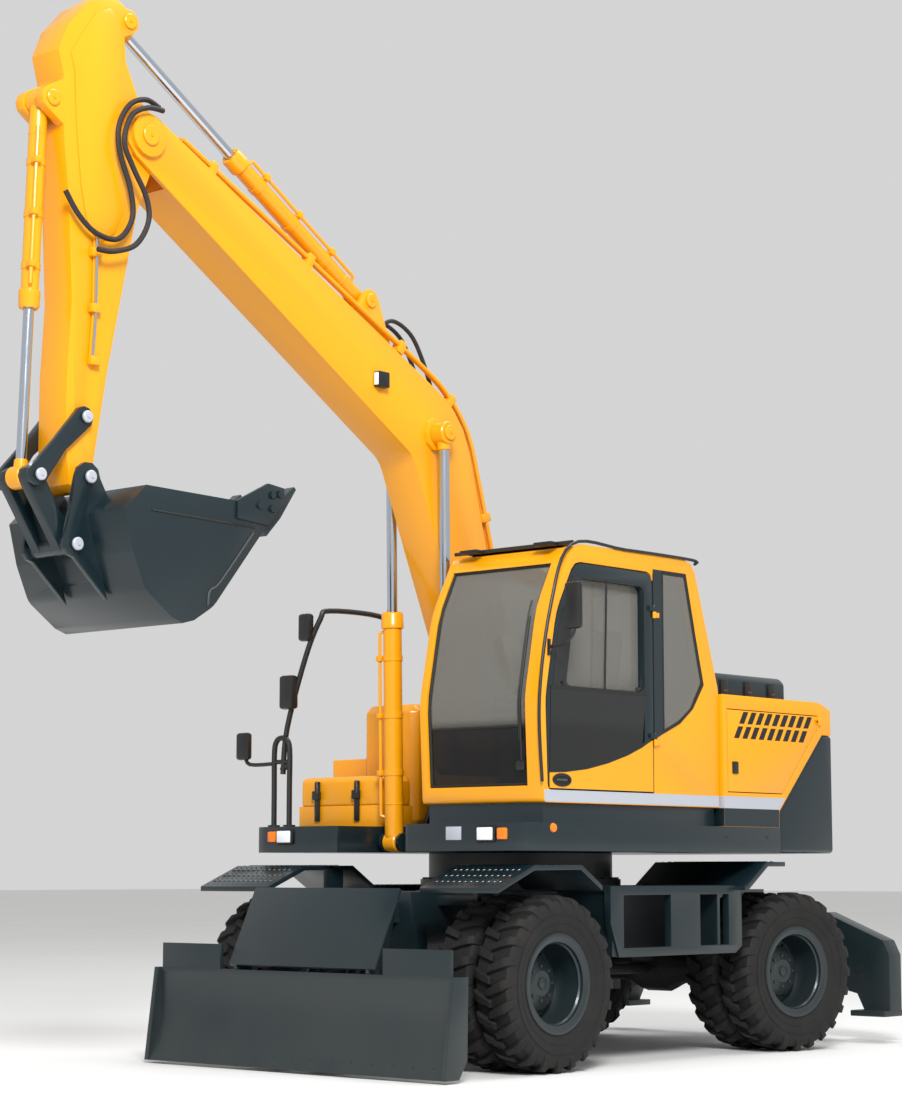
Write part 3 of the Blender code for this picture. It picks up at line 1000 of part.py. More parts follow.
for i in range(5):
    x = BOOM_X + (i - 2) * (2 * BUCKET_HALF - 0.10) / 4
    tooth = [(-2.955, 3.125), (-2.85, 3.262), (-2.69, 3.395), (-2.675, 3.38), (-2.80, 3.20), (-2.91, 3.085)]
    shapes.append(plate("x", tooth, x - 0.035, x + 0.035))
for side in (1, -1):
    edge = BOOM_X + side * BUCKET_HALF
    xs = sorted((edge - side * 0.005, edge + side * 0.018))
    cutter = [(-3.17, 3.16), (-3.17, 3.262), (-2.93, 3.385), (-2.80, 3.37), (-2.80, 3.30), (-2.92, 3.14)]
    shapes.append(plate("x", cutter, xs[0], xs[1]))
seat(joined("bucket", [bucket] + shapes), joint_point(BUCKET_PIN, BOOM_X))
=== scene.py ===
"""A wheeled excavator: blade and stabilisers on a rubber-tyred chassis, slewing upper structure with cab,
curved boom, arm and bucket. Metres, +Z up. The machine faces -Y and its cab is on the +X side."""
import math

import bmesh
import bpy
from mathutils import Matrix, Vector


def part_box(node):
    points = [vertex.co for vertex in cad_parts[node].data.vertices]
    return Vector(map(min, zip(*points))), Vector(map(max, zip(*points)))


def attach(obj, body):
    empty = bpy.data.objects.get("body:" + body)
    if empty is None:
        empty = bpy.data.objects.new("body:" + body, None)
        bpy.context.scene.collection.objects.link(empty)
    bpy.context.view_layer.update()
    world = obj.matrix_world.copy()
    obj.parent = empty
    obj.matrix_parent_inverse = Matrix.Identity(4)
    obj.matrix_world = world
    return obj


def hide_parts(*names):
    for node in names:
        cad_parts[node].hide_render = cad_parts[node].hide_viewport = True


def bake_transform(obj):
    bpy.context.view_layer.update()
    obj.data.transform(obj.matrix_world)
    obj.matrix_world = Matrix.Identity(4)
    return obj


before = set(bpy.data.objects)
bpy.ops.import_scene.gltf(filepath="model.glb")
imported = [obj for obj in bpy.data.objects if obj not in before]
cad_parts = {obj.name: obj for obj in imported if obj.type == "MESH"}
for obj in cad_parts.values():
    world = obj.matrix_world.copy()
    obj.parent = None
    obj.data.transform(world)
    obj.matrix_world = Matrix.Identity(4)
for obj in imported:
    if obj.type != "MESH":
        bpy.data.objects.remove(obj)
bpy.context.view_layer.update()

# ---- Floor, light and camera
# The machine stands on a pale studio floor under soft daylight, brightest off its front left corner.
# The camera is at chest height off the front left corner, and looks slightly up.
AXLES_MIDDLE = 0.955          # y of the middle between the axles, from which lengths are given


def at(x, y, z):
    """A place given from the middle between the axles, on the floor."""
    return Vector((x, y + AXLES_MIDDLE, z))


def linear(hex_colour, alpha=1.0):
    """An sRGB hex colour as linear red, green, blue and alpha."""
    parts = [int(hex_colour[i:i + 2], 16) / 255 for i in (0, 2, 4)]
    return (*[c / 12.92 if c <= 0.04045 else ((c + 0.055) / 1.055) ** 2.4 for c in parts], alpha)


def add(tree, kind, sockets, **settings):
    """Adds a node with its settings, and its inputs as values or as links from other nodes."""
    made = tree.nodes.new(kind)
    for key, value in settings.items():
        setattr(made, key, value)
    for key, value in sockets.items():
        if isinstance(value, bpy.types.NodeSocket):
            tree.links.new(value, made.inputs[key])
        else:
            made.inputs[key].default_value = value
    return made


scene = bpy.context.scene
floor_finish = bpy.data.materials.new("pale painted studio floor")
floor_finish.use_nodes = True
ground = floor_finish.node_tree
ground_place = add(ground, "ShaderNodeTexCoord", {}).outputs["Object"]
ground_cloud = add(ground, "ShaderNodeTexNoise", {"Vector": ground_place, "Scale": 0.4,
                                                  "Detail": 3.0}).outputs["Fac"]
ground_mix = add(ground, "ShaderNodeMix", {0: ground_cloud, 6: linear("DEDEDD"), 7: linear("E6E6E5")},
                 data_type="RGBA")
ground.links.new(ground_mix.outputs[2], ground.nodes["Principled BSDF"].inputs["Base Color"])
ground.nodes["Principled BSDF"].inputs["Roughness"].default_value = 0.8
slab = bmesh.new()
bmesh.ops.create_grid(slab, x_segments=1, y_segments=1, size=120.0)
floor_mesh = bpy.data.meshes.new("floor")
slab.to_mesh(floor_mesh)
slab.free()
floor_mesh.materials.append(floor_finish)
floor = bpy.data.objects.new("floor", floor_mesh)
scene.collection.objects.link(floor)

world = bpy.data.worlds.new("soft daylight")
scene.world = world
world.use_nodes = True
world.node_tree.nodes["Background"].inputs["Color"].default_value = linear("FFFFFF")
world.node_tree.nodes["Background"].inputs["Strength"].default_value = 0.66
scene.view_settings.view_transform = "Standard"
for name, place, power, size in (("key", (13.0, -12.0, 13.0), 4600.0, 5.0),
                                 ("top", (3.0, 5.0, 18.0), 1300.0, 8.0)):
    lamp = bpy.data.lights.new(name, "AREA")
    lamp.energy = power
    lamp.size = size
    lit = bpy.data.objects.new(name, lamp)
    lit.location = place
    lit.rotation_euler = (Vector((0.0, -1.0, 2.0)) - Vector(place)).to_track_quat("-Z", "Y").to_euler()
    scene.collection.objects.link(lit)
lens = bpy.data.cameras.new("camera")
lens.lens = 82.39
lens.clip_end = 400.0
camera = bpy.data.objects.new("camera", lens)
camera.location = at(10.691, -12.893, 1.171)
camera.rotation_euler = (math.radians(90 + 7.324), 0.0, math.radians(41.677))
scene.collection.objects.link(camera)
scene.camera = camera

# ---- Chassis frame with its front platforms
# Welded steel beam that carries axles, blade and stabilisers, in dark grey-green two-pack enamel.
# Enamel is smooth with a faint orange peel; low down it holds a film of dry dust.


def enamel(name, clean, dusty, dust_top, gloss):
    """Sprayed paint that dust dulls from the ground up to dust_top; gloss is its clean roughness."""
    made = bpy.data.materials.new(name)
    made.use_nodes = True
    tree = made.node_tree
    shader = tree.nodes["Principled BSDF"]
    place = add(tree, "ShaderNodeTexCoord", {}).outputs["Object"]
    cloud = add(tree, "ShaderNodeTexNoise", {"Vector": place, "Scale": 2.2, "Detail": 5.0,
                                             "Roughness": 0.6}).outputs["Fac"]
    height = add(tree, "ShaderNodeSeparateXYZ", {"Vector": place}).outputs["Z"]
    low = add(tree, "ShaderNodeMapRange", {"Value": height, "From Min": 0.0, "From Max": dust_top,
                                           "To Min": 0.55, "To Max": 0.06}).outputs["Result"]
    film = add(tree, "ShaderNodeMath", {0: low, 1: cloud}, operation="MULTIPLY").outputs[0]
    colour = add(tree, "ShaderNodeMix", {0: film, 6: linear(clean), 7: linear(dusty)},
                 data_type="RGBA").outputs[2]
    tree.links.new(colour, shader.inputs["Base Color"])
    rough = add(tree, "ShaderNodeMapRange", {"Value": film, "From Max": 0.4, "To Min": gloss,
                                             "To Max": gloss + 0.3})
    tree.links.new(rough.outputs["Result"], shader.inputs["Roughness"])
    # orange peel has 3 mm cells; 20 mm is what can be seen on a whole machine
    peel = add(tree, "ShaderNodeTexNoise", {"Vector": place, "Scale": 50.0, "Detail": 1.0}).outputs["Fac"]
    bump = add(tree, "ShaderNodeBump", {"Height": peel, "Strength": 0.12,
                                        "Distance": 0.002}).outputs["Normal"]
    tree.links.new(bump, shader.inputs["Normal"])
    shader.inputs["Coat Weight"].default_value = 0.12
    shader.inputs["Coat Roughness"].default_value = 0.12
    return made


GREEN = enamel("dark grey-green enamel on steel", "0B1D23", "3A3B35", 1.2, 0.28)
YELLOW = enamel("signal yellow enamel on steel", "E89A04", "B98430", 1.2, 0.26)


def mesh_of(bm):
    """The finished shape as a mesh; the working one is let go."""
    mesh = bpy.data.meshes.new("shape")
    bm.to_mesh(mesh)
    bm.free()
    return mesh


SHARP = 0.44                   # radians, about 25 degrees


def soften(bm, width, segments=2):
    """Rounds every edge between faces that meet sharply."""
    edges = [e for e in bm.edges if e.is_manifold and e.calc_face_angle(0.0) > SHARP]
    if width > 0 and edges:
        bmesh.ops.bevel(bm, geom=edges, offset=width, segments=segments, profile=0.5, affect="EDGES",
                        clamp_overlap=True)


def from_cad(cad, width=0.004, segments=2):
    """A CAD solid's shape with rounded edges."""
    bm = bmesh.new()
    bm.from_mesh(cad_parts[cad].data)
    bmesh.ops.remove_doubles(bm, verts=bm.verts, dist=2e-5)
    bmesh.ops.dissolve_limit(bm, angle_limit=math.radians(0.6), verts=bm.verts, edges=bm.edges)
    plain = bpy.data.meshes.new("shape")
    plain.from_pydata([v.co[:] for v in bm.verts], [], [[v.index for v in f.verts] for f in bm.faces])
    bm.free()
    bm = bmesh.new()
    bm.from_mesh(plain)
    soften(bm, width, segments)
    return mesh_of(bm)


def piece(name, body, parts, stands_for=(), crease=32.0):
    """One piece out of meshes, each with its material; it rides on a body where one is given."""
    bm = bmesh.new()
    finishes = []
    for mesh, finish in parts:
        if finish not in finishes:
            finishes.append(finish)
        index = finishes.index(finish)
        for face in mesh.polygons:
            face.material_index = index
        bm.from_mesh(mesh)
    mesh = mesh_of(bm)
    for finish in finishes:
        mesh.materials.append(finish)
    mesh.shade_smooth()
    mesh.set_sharp_from_angle(angle=math.radians(crease))
    made = bpy.data.objects.new(name, mesh)
    scene.collection.objects.link(made)
    if body:
        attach(made, body)
    if stands_for:
        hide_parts(*stands_for)
    return made


def repeating(name, inputs):
    """Starts a tree of copies of a piece, and returns it with its named inputs."""
    tree = bpy.data.node_groups.new(name, "GeometryNodeTree")
    tree.interface.new_socket("Piece", in_out="INPUT", socket_type="NodeSocketGeometry")
    for label, kind in inputs:
        tree.interface.new_socket(label, in_out="INPUT", socket_type=kind)
    tree.interface.new_socket("Pieces", in_out="OUTPUT", socket_type="NodeSocketGeometry")
    return tree, tree.nodes.new("NodeGroupInput").outputs


# a tree that sets copies in a row
ROW, given = repeating("copies in a row", (("Count", "NodeSocketInt"), ("Step", "NodeSocketVector"),
                                           ("Finish", "NodeSocketMaterial")))
spots = add(ROW, "GeometryNodeMeshLine", {"Count": given["Count"], "Offset": given["Step"]}).outputs["Mesh"]
copies = add(ROW, "GeometryNodeInstanceOnPoints", {"Points": spots, "Instance": given["Piece"]})
real = add(ROW, "GeometryNodeRealizeInstances", {"Geometry": copies.outputs[0]}).outputs[0]
done = add(ROW, "GeometryNodeSetMaterial", {"Geometry": real, "Material": given["Finish"]}).outputs[0]
add(ROW, "NodeGroupOutput", {"Pieces": done})


def repeated(mesh, tree, place, **values):
    """The mesh copied by a tree, then moved to its place."""
    source = bpy.data.objects.new("pattern", mesh)
    scene.collection.objects.link(source)
    step = source.modifiers.new("copies", "NODES")
    step.node_group = tree
    for socket in tree.interface.items_tree:
        if socket.in_out == "INPUT" and socket.name in values:
            step[socket.identifier] = values[socket.name]
    bpy.context.view_layer.update()
    made = bpy.data.meshes.new_from_object(source.evaluated_get(bpy.context.evaluated_depsgraph_get()))
    source.modifiers.clear()
    bpy.data.objects.remove(source)
    made.materials.clear()
    made.transform(place)
    return made


STUD_PITCH = 0.045
chequer = bmesh.new()
bmesh.ops.create_cone(chequer, cap_ends=True, segments=4, radius1=0.017, radius2=0.008, depth=0.004,
                      matrix=Matrix.Diagonal((1.0, 0.32, 1.0, 1.0)))
CHEQUER = mesh_of(chequer)


def chequer_plate(corner, across, along, tilt, finish):
    """Raised diamonds of a tread plate, 45 mm apart, from a corner across X and along Y."""
    parts = []
    for row in range(int(along / STUD_PITCH)):
        turn = Matrix.Rotation(math.radians(45 if row % 2 else -45), 4, "Z")
        stud = CHEQUER.copy()
        stud.transform(turn)
        place = Matrix.Translation(corner) @ Matrix.Rotation(tilt, 4,
            "X") @ Matrix.Translation((0.02 + STUD_PITCH / 2 * (row % 2), 0.025 + row * STUD_PITCH, 0.001))
        parts.append((repeated(stud, ROW, place, Count=int(across / STUD_PITCH) - 1,
                               Step=(STUD_PITCH, 0.0, 0.0), Finish=finish), finish))
    return parts


plates = [(from_cad("chassis_frame", 0.006), GREEN)]
for side in (1, -1):
    start = 0.65 if side > 0 else -1.25
    for y, z, length, tilt in ((-1.86, 1.088, 0.32, 0.388), (-1.54, 1.2115, 0.41, 0.005),
                               (-1.105, 1.211, 0.20, -0.56)):
        plates += chequer_plate(at(start, y, z), 0.60, length, tilt, GREEN)
piece("chassis", "chassis", plates, ["chassis_frame"])

# ---- Axles, transmission and slewing ring
# Grey iron castings and turned steel, sprayed the chassis colour. Castings keep a sandy skin
# under the paint, so they scatter light more than the sheet metal.
IRON = enamel("painted sand casting", "1A1E20", "3F3B33", 1.2, 0.5)
grit = next(n for n in IRON.node_tree.nodes if n.type == "BUMP")
grit.inputs["Strength"].default_value = 0.5
for cad in ("front_axle", "rear_axle", "drive_line"):
    piece(cad + "_casting", "chassis", [(from_cad(cad, 0.008), IRON)], [cad])


AXIS = {"x": Matrix.Rotation(math.pi / 2, 4, "Y"), "y": Matrix.Rotation(-math.pi / 2, 4, "X"), "z": Matrix()}


def lathe(axis, centre, profile, steps=40):
    """A profile of (along, radius) points turned about an axis. An end off the axis is closed across it, and
    a profile with both ends off it is a ring's, closed on itself."""
    profile = list(profile)
    if profile[0][1] > 0 and profile[-1][1] > 0:
        profile.append(profile[0])
    elif profile[0][1] > 0:
        profile.insert(0, (profile[0][0], 0.0))
    elif profile[-1][1] > 0:
        profile.append((profile[-1][0], 0.0))
    bm = bmesh.new()
    verts = [bm.verts.new((r, 0.0, a)) for a, r in profile]
    edges = [bm.edges.new(pair) for pair in zip(verts, verts[1:])]
    bmesh.ops.spin(bm, geom=verts + edges, cent=(0, 0, 0), axis=(0, 0, 1), angle=2 * math.pi, steps=steps)
    bmesh.ops.remove_doubles(bm, verts=bm.verts, dist=1e-5)
    bmesh.ops.recalc_face_normals(bm, faces=bm.faces)
    turn = axis if isinstance(axis, Matrix) else Matrix.Translation(centre) @ AXIS[axis]
    bmesh.ops.transform(bm, matrix=turn, verts=bm.verts)
    return mesh_of(bm)


# a tree that sets copies round the X axis
ROUND, given = repeating("copies round an axle", (("Count", "NodeSocketInt"),
                                                  ("Finish", "NodeSocketMaterial")))
index = add(ROUND, "GeometryNodeInputIndex", {}).outputs[0]
part_of = add(ROUND, "ShaderNodeMath", {0: index, 1: given["Count"]}, operation="DIVIDE").outputs[0]
angle = add(ROUND, "ShaderNodeMath", {0: part_of, 1: 2 * math.pi}, operation="MULTIPLY").outputs[0]
turn = add(ROUND, "ShaderNodeCombineXYZ", {"X": angle}).outputs[0]
spots = add(ROUND, "GeometryNodeMeshLine", {"Count": given["Count"],
                                            "Offset": (0.0, 0.0, 0.0)}).outputs["Mesh"]
copies = add(ROUND, "GeometryNodeInstanceOnPoints", {"Points": spots, "Instance": given["Piece"],
    "Rotation": turn})
real = add(ROUND, "GeometryNodeRealizeInstances", {"Geometry": copies.outputs[0]}).outputs[0]
done = add(ROUND, "GeometryNodeSetMaterial", {"Geometry": real, "Material": given["Finish"]}).outputs[0]
add(ROUND, "NodeGroupOutput", {"Pieces": done})


def bolt(radius, head):
    """A hexagon head on the plane x = 0, pointing along +X."""
    bm = bmesh.new()
    bmesh.ops.create_cone(bm, cap_ends=True, segments=6, radius1=radius, radius2=radius * 0.96, depth=head,
                          matrix=Matrix.Translation((head / 2, 0, 0)) @ AXIS["x"])
    return bm


def bolt_ring(centre, axis_turn, radius, count, size, finish):
    """Bolt heads in a ring that looks along +X before axis_turn."""
    bm = bolt(size, size * 0.8)
    bmesh.ops.translate(bm, vec=(0, 0, radius), verts=bm.verts)
    return repeated(mesh_of(bm), ROUND, Matrix.Translation(centre) @ axis_turn, Count=count, Finish=finish)


UP = Matrix.Rotation(-math.pi / 2, 4, "Y")
slew_parts = [(lathe("z", at(0, -0.2, 0), [(1.052, 0.0), (1.052, 0.655), (1.125, 0.655), (1.13, 0.60),
                                           (1.29, 0.60), (1.2945, 0.595), (1.2945, 0.0)], 72), IRON)]
slew_parts.append((bolt_ring(at(0, -0.2, 1.126), UP, 0.63, 36, 0.014, IRON), IRON))
piece("slewing_ring", "chassis", slew_parts, ["slew_ring"])
for hand, side in (("left", 1), ("right", -1)):
    piece("steering_knuckle_" + hand, hand + "_knuckle",
          [(from_cad("knuckle_" + hand, 0.006), IRON)], ["knuckle_" + hand])

# ---- Tyres
# Twin industrial tyres, 10.00-20, black rubber with deep staggered lugs over the shoulders.
# Moulded rubber is matt, greyer where it has worn and where dust sits in the sidewall.
RUBBER = bpy.data.materials.new("moulded tyre rubber")
RUBBER.use_nodes = True
tyre_tree = RUBBER.node_tree
tyre_place = add(tyre_tree, "ShaderNodeTexCoord", {}).outputs["Object"]
worn = add(tyre_tree, "ShaderNodeTexNoise", {"Vector": tyre_place, "Scale": 6.0,
                                             "Detail": 6.0}).outputs["Fac"]
worn_range = add(tyre_tree, "ShaderNodeMapRange", {"Value": worn, "From Min": 0.4,
                                                   "From Max": 0.75}).outputs["Result"]
worn_tint = add(tyre_tree, "ShaderNodeMix", {0: worn_range, 6: linear("070606"), 7: linear("171412")},
                data_type="RGBA")
tyre_tree.links.new(worn_tint.outputs[2], tyre_tree.nodes["Principled BSDF"].inputs["Base Color"])
tyre_tree.nodes["Principled BSDF"].inputs["Roughness"].default_value = 0.78
skin = add(tyre_tree, "ShaderNodeTexNoise", {"Vector": tyre_place, "Scale": 90.0,
                                             "Detail": 3.0}).outputs["Fac"]
skin_bump = add(tyre_tree, "ShaderNodeBump", {"Height": skin, "Strength": 0.35,
                                              "Distance": 0.003}).outputs["Normal"]
tyre_tree.links.new(skin_bump, tyre_tree.nodes["Principled BSDF"].inputs["Normal"])

TYRE_R = 0.525
AXLE_Z = TYRE_R * math.cos(math.pi / 20)
TREAD_R = AXLE_Z - 0.0005
LUG_DEPTH = 0.026
LUGS = 24
RIBS = ((0.352, (0.1205, 0.1235, 0.1225)), (0.405, (0.1365, 0.139, 0.1375)))   # sidewall ribs
TWIN_X = 0.155                 # from the middle of a pair to each tyre
carcass = [(-0.094, 0.264), (-0.104, 0.285), (-0.099, 0.302), (-0.118, 0.345), (-0.134, 0.395),
           (-0.136, 0.43), (-0.128, 0.465), (-0.112, TREAD_R - LUG_DEPTH - 0.008),
           (-0.06, TREAD_R - LUG_DEPTH)]
carcass = carcass + [(-u, r) for u, r in reversed(carcass)]


def lug(hand):
    """One tread lug: across half the crown, over the shoulder and down the sidewall."""
    run = ((-0.012, TREAD_R, 0.020, -0.012), (0.045, TREAD_R, 0.023, 0.010),
           (0.095, TREAD_R - 0.003, 0.027, 0.030), (0.124, TREAD_R - 0.022, 0.025, 0.040),
           (0.137, 0.462, 0.021, 0.044), (0.1385, 0.425, 0.016, 0.046))
    bm = bmesh.new()
    rings = []
    for u, r, half, skew in run:
        deep = LUG_DEPTH + 0.006 if u < 0.1 else 0.030
        down = Vector((0, 0, -deep)) if u < 0.1 else Vector((-0.022, 0, -0.016))
        ring = []
        for s, f in ((-half * 1.18, 1), (-half, 0), (half, 0), (half * 1.18, 1)):
            sunk = Vector((down.x * hand, 0, down.z)) * f
            ring.append(bm.verts.new(Vector((u * hand, s + skew, r)) + sunk))
        rings.append(ring)
    for a, b in zip(rings, rings[1:]):
        for i in range(4):
            bm.faces.new((a[i], a[(i + 1) % 4], b[(i + 1) % 4], b[i]))
    bm.faces.new(rings[0])
    bm.faces.new(list(reversed(rings[-1])))
    bmesh.ops.recalc_face_normals(bm, faces=bm.faces)
    soften(bm, 0.003, 1)
    return mesh_of(bm)


STEER = math.radians(-9.0)     # how far the rear wheels stand steered
HALF_BASE = 1.3                # from the middle between the axles to each of them
WHEEL_X = 0.955                # from the machine's middle to the middle of a pair of tyres
KNUCKLE_X = 0.57               # to the pin that a rear knuckle turns on
corners = []
for hand, side in (("left", 1), ("right", -1)):
    outward = Matrix.Rotation(0.0 if side > 0 else math.pi, 4, "Z")
    corners.append(("front_" + hand, Matrix.Translation(at(side * WHEEL_X, -HALF_BASE, AXLE_Z)) @ outward))
    swing = Matrix.Translation(at(side * KNUCKLE_X, HALF_BASE, AXLE_Z)) @ Matrix.Rotation(STEER, 4, "Z")
    reach = Matrix.Translation((side * (WHEEL_X - KNUCKLE_X), 0, 0))
    corners.append(("rear_" + hand, swing @ reach @ outward))
for corner, place in corners:
    parts = []
    for u in (TWIN_X, -TWIN_X):
        parts.append((lathe("x", (u, 0, 0), carcass, 72), RUBBER))
        parts[-1][0].transform(place)
        for hand, phase in ((1, 0.0), (-1, math.pi / LUGS)):
            move = place @ Matrix.Translation((u, 0, 0)) @ Matrix.Rotation(phase + 0.05, 4, "X")
            parts.append((repeated(lug(hand), ROUND, move, Count=LUGS, Finish=RUBBER), RUBBER))
        for r, walls in RIBS:
            ridge = list(zip(walls, (r - 0.004, r, r + 0.004)))
            for profile in ([(-wall, reach) for wall, reach in ridge], ridge[::-1]):
                rib = lathe("x", (u, 0, 0), profile, 72)
                rib.transform(place)
                parts.append((rib, RUBBER))
    piece("twin_tyres_" + corner, corner + "_wheels", parts, ["tyres_" + corner])

# ---- Wheels
# Rolled steel rims with a pressed disc, held by ten nuts on the planetary hub, all sprayed
# grey-green. Edges of the gutter rings show where the two rims are clamped together.
rim = [(0.135, 0.0), (0.135, 0.075), (0.128, 0.085), (0.118, 0.12), (0.10, 0.160), (0.06, 0.168),
       (0.03, 0.170), (0.03, 0.19), (0.036, 0.215), (0.06, 0.232), (0.11, 0.238), (0.20, 0.240),
       (0.25, 0.244), (0.262, 0.262), (0.264, 0.285), (0.262, 0.295), (0.2505, 0.295), (0.2505, 0.2585),
       (0.0595, 0.2585), (0.0595, 0.294), (0.048, 0.296), (0.047, 0.2585)]
rim = rim + [(-u, r) for u, r in reversed(rim[6:])] + [(-0.022, 0.170), (-0.1497, 0.16), (-0.1497, 0.0)]
for corner, place in corners:
    disc = lathe("x", (0, 0, 0), rim, 64)
    disc.transform(place)
    nuts = bolt_ring((0.031, 0, 0), Matrix(), 0.192, 10, 0.017, GREEN)
    nuts.transform(place)
    hub_bolts = bolt_ring((0.122, 0, 0), Matrix(), 0.100, 8, 0.011, GREEN)
    hub_bolts.transform(place)
    cap = lathe("x", (0.134, 0, 0), [(0.012, 0.0), (0.012, 0.026), (0.008, 0.034), (0.0, 0.036),
                                     (-0.01, 0.036)], 32)
    cap.transform(place)
    gutter = lathe("x", (0, 0, 0), [(0.214, 0.2395), (0.222, 0.233), (0.232, 0.2415)], 64)
    gutter.transform(place)
    piece("rims_" + corner, corner + "_wheels",
          [(disc, GREEN), (nuts, GREEN), (hub_bolts, GREEN), (cap, GREEN), (gutter, GREEN)],
          ["wheel_" + corner])

# ---- Hydraulic cylinders
# Honed steel barrels in enamel with a bolted gland, and hard-chromed piston rods.
# Chrome is a bright mirror with fine lengthwise polish marks.
CHROME = bpy.data.materials.new("hard chrome on ground steel")
CHROME.use_nodes = True
plating = CHROME.node_tree
rod_place = add(plating, "ShaderNodeTexCoord", {}).outputs["Object"]
long_marks = add(plating, "ShaderNodeMapping", {"Vector": rod_place, "Scale": (60.0, 60.0, 2.0)}).outputs[0]
marks = add(plating, "ShaderNodeTexNoise", {"Vector": long_marks, "Scale": 3.0,
                                            "Detail": 2.0}).outputs["Fac"]
sheen = add(plating, "ShaderNodeMapRange", {"Value": marks, "To Min": 0.10,
                                            "To Max": 0.24}).outputs["Result"]
plating.nodes["Principled BSDF"].inputs["Base Color"].default_value = linear("C3CBD6")
plating.nodes["Principled BSDF"].inputs["Metallic"].default_value = 1.0
plating.links.new(sheen, plating.nodes["Principled BSDF"].inputs["Roughness"])


def block(low, high, width=0.004, turn=None):
    """A box between two corners with rounded edges, turned about its middle."""
    bm = bmesh.new()
    size = Vector(high) - Vector(low)
    bmesh.ops.create_cube(bm, size=1.0, matrix=Matrix.Diagonal((*size, 1.0)))
    soften(bm, min(width, min(size) * 0.45))
    bmesh.ops.transform(bm, matrix=Matrix.Translation((Vector(low) + Vector(high)) / 2)
                        @ (turn or Matrix()), verts=bm.verts)
    return mesh_of(bm)


def pipe(points, radius, sides=3):
    """A round pipe, rail or hose through the given points."""
    curve = bpy.data.curves.new("pipe", "CURVE")
    curve.dimensions = "3D"
    curve.bevel_depth = radius
    curve.bevel_resolution = sides
    curve.use_fill_caps = True
    line = curve.splines.new("POLY")
    line.points.add(len(points) - 1)
    for point, place in zip(line.points, points):
        point.co = (*place, 1.0)
    made = bpy.data.objects.new("pipe", curve)
    scene.collection.objects.link(made)
    bpy.context.view_layer.update()
    mesh = bpy.data.meshes.new_from_object(made.evaluated_get(bpy.context.evaluated_depsgraph_get()))
    bpy.data.objects.remove(made)
    mesh.materials.clear()
    bm = bmesh.new()
    bm.from_mesh(mesh)
    bmesh.ops.remove_doubles(bm, verts=bm.verts, dist=1e-5)
    return mesh_of(bm)


def pin_line(foot, eye, x):
    """Turns +Z into the line from foot to eye, both (y, z), with the foot at the origin."""
    start = at(x, *foot)
    along = (at(x, *eye) - start).normalized()
    side = Vector((1.0, 0.0, 0.0))
    turn = Matrix((side, along.cross(side), along)).transposed().to_4x4()
    return Matrix.Translation(start) @ turn, (at(x, *eye) - start).length


def eye_boss(centre, half, radius):
    """The turned eye at a cylinder's end, with its edges taken off."""
    rim_edge = radius - 0.006
    return lathe("x", centre, [(-half, 0.0), (-half, rim_edge), (-half + 0.006, radius),
                               (half - 0.006, radius), (half, rim_edge), (half, 0.0)], 36)


def cylinder(name, hand, foot, eye, x, length, radius, rod_radius, rod_length, eye_half, eyes, paint,
             feed=None):
    """A barrel and a rod, each riding on its own body; feed is which way its steel pipe stands off."""
    barrel, rod = name + "_barrel" + hand, name + "_rod" + hand
    line, reach = pin_line(foot, eye, x)
    gland = radius * 1.18
    bore = rod_radius + 0.002
    tube = lathe(line, None, [(0.06, 0.0), (0.06, bore), (length, bore), (length, gland * 0.9),
                              (length - 0.012, gland), (length - 0.06, gland),
                              (length - 0.064, gland * 1.03), (length - 0.10, gland * 1.03),
                              (length - 0.105, radius), (0.05, radius), (0.03, radius * 0.96),
                              (0.0, radius * 0.75), (0.0, 0.0)], 40)
    boss = eye_boss(at(x, *foot), eye_half, eyes[0])
    studs = bolt_ring((0, 0, 0), Matrix.Rotation(-math.pi / 2, 4, "Y"), gland * 0.8, 8, radius * 0.13, paint)
    studs.transform(line @ Matrix.Translation((0, 0, length - 0.0005)))
    weld = lathe(line, None, [(length * 0.16, radius), (length * 0.16 + 0.006, radius + 0.003),
                              (length * 0.16 + 0.012, radius)], 32)
    shell = [(tube, paint), (boss, paint), (studs, paint), (weld, paint)]
    if feed:
        away = Vector((*feed, 0.0))
        far, near = away * (radius + 0.024), away * (radius - 0.004)
        run = [line @ (stand + Vector((0, 0, height))) for stand, height in ((near, 0.16), (far, 0.17),
            (far, 0.20), (far, length - 0.16), (far, length - 0.13), (near, length - 0.12))]
        shell.append((pipe(run, 0.011), paint))
        for share in (0.3, 0.55, 0.8):
            band = lathe(line @ Matrix.Translation((0, 0, length * share)), None,
                         [(-0.02, radius), (-0.018, radius + 0.005), (0.018, radius + 0.005),
                          (0.02, radius)], 32)
            grip = block((-0.022, -0.022, -0.018), (0.022, 0.022, 0.018), 0.005)
            grip.transform(line @ Matrix.Translation(far * 0.97 + Vector((0, 0, length * share))))
            shell += [(band, paint), (grip, paint)]
    piece(name + hand + "_barrel_skin", barrel,
          shell, [barrel])
    bar = lathe(line, None, [(reach - rod_length, 0.0), (reach - rod_length, rod_radius),
                             (reach - eyes[1] - 0.02, rod_radius), (reach - eyes[1] - 0.02, 0.0)], 40)
    neck = lathe(line, None, [(reach - eyes[1] - 0.035, rod_radius + 0.0005),
                              (reach - eyes[1] - 0.03, rod_radius + 0.008), (reach - eyes[1] * 0.5,
                                  rod_radius + 0.012), (reach - eyes[1] * 0.5, 0.0)], 32)
    ring = eye_boss(at(x, *eye), eye_half, eyes[1])
    piece(name + hand + "_rod_skin", rod, [(bar, CHROME), (neck, paint), (ring, paint)],
          [rod])


BOOM_X = -0.10                 # the boom stands right of the middle, beside the cab
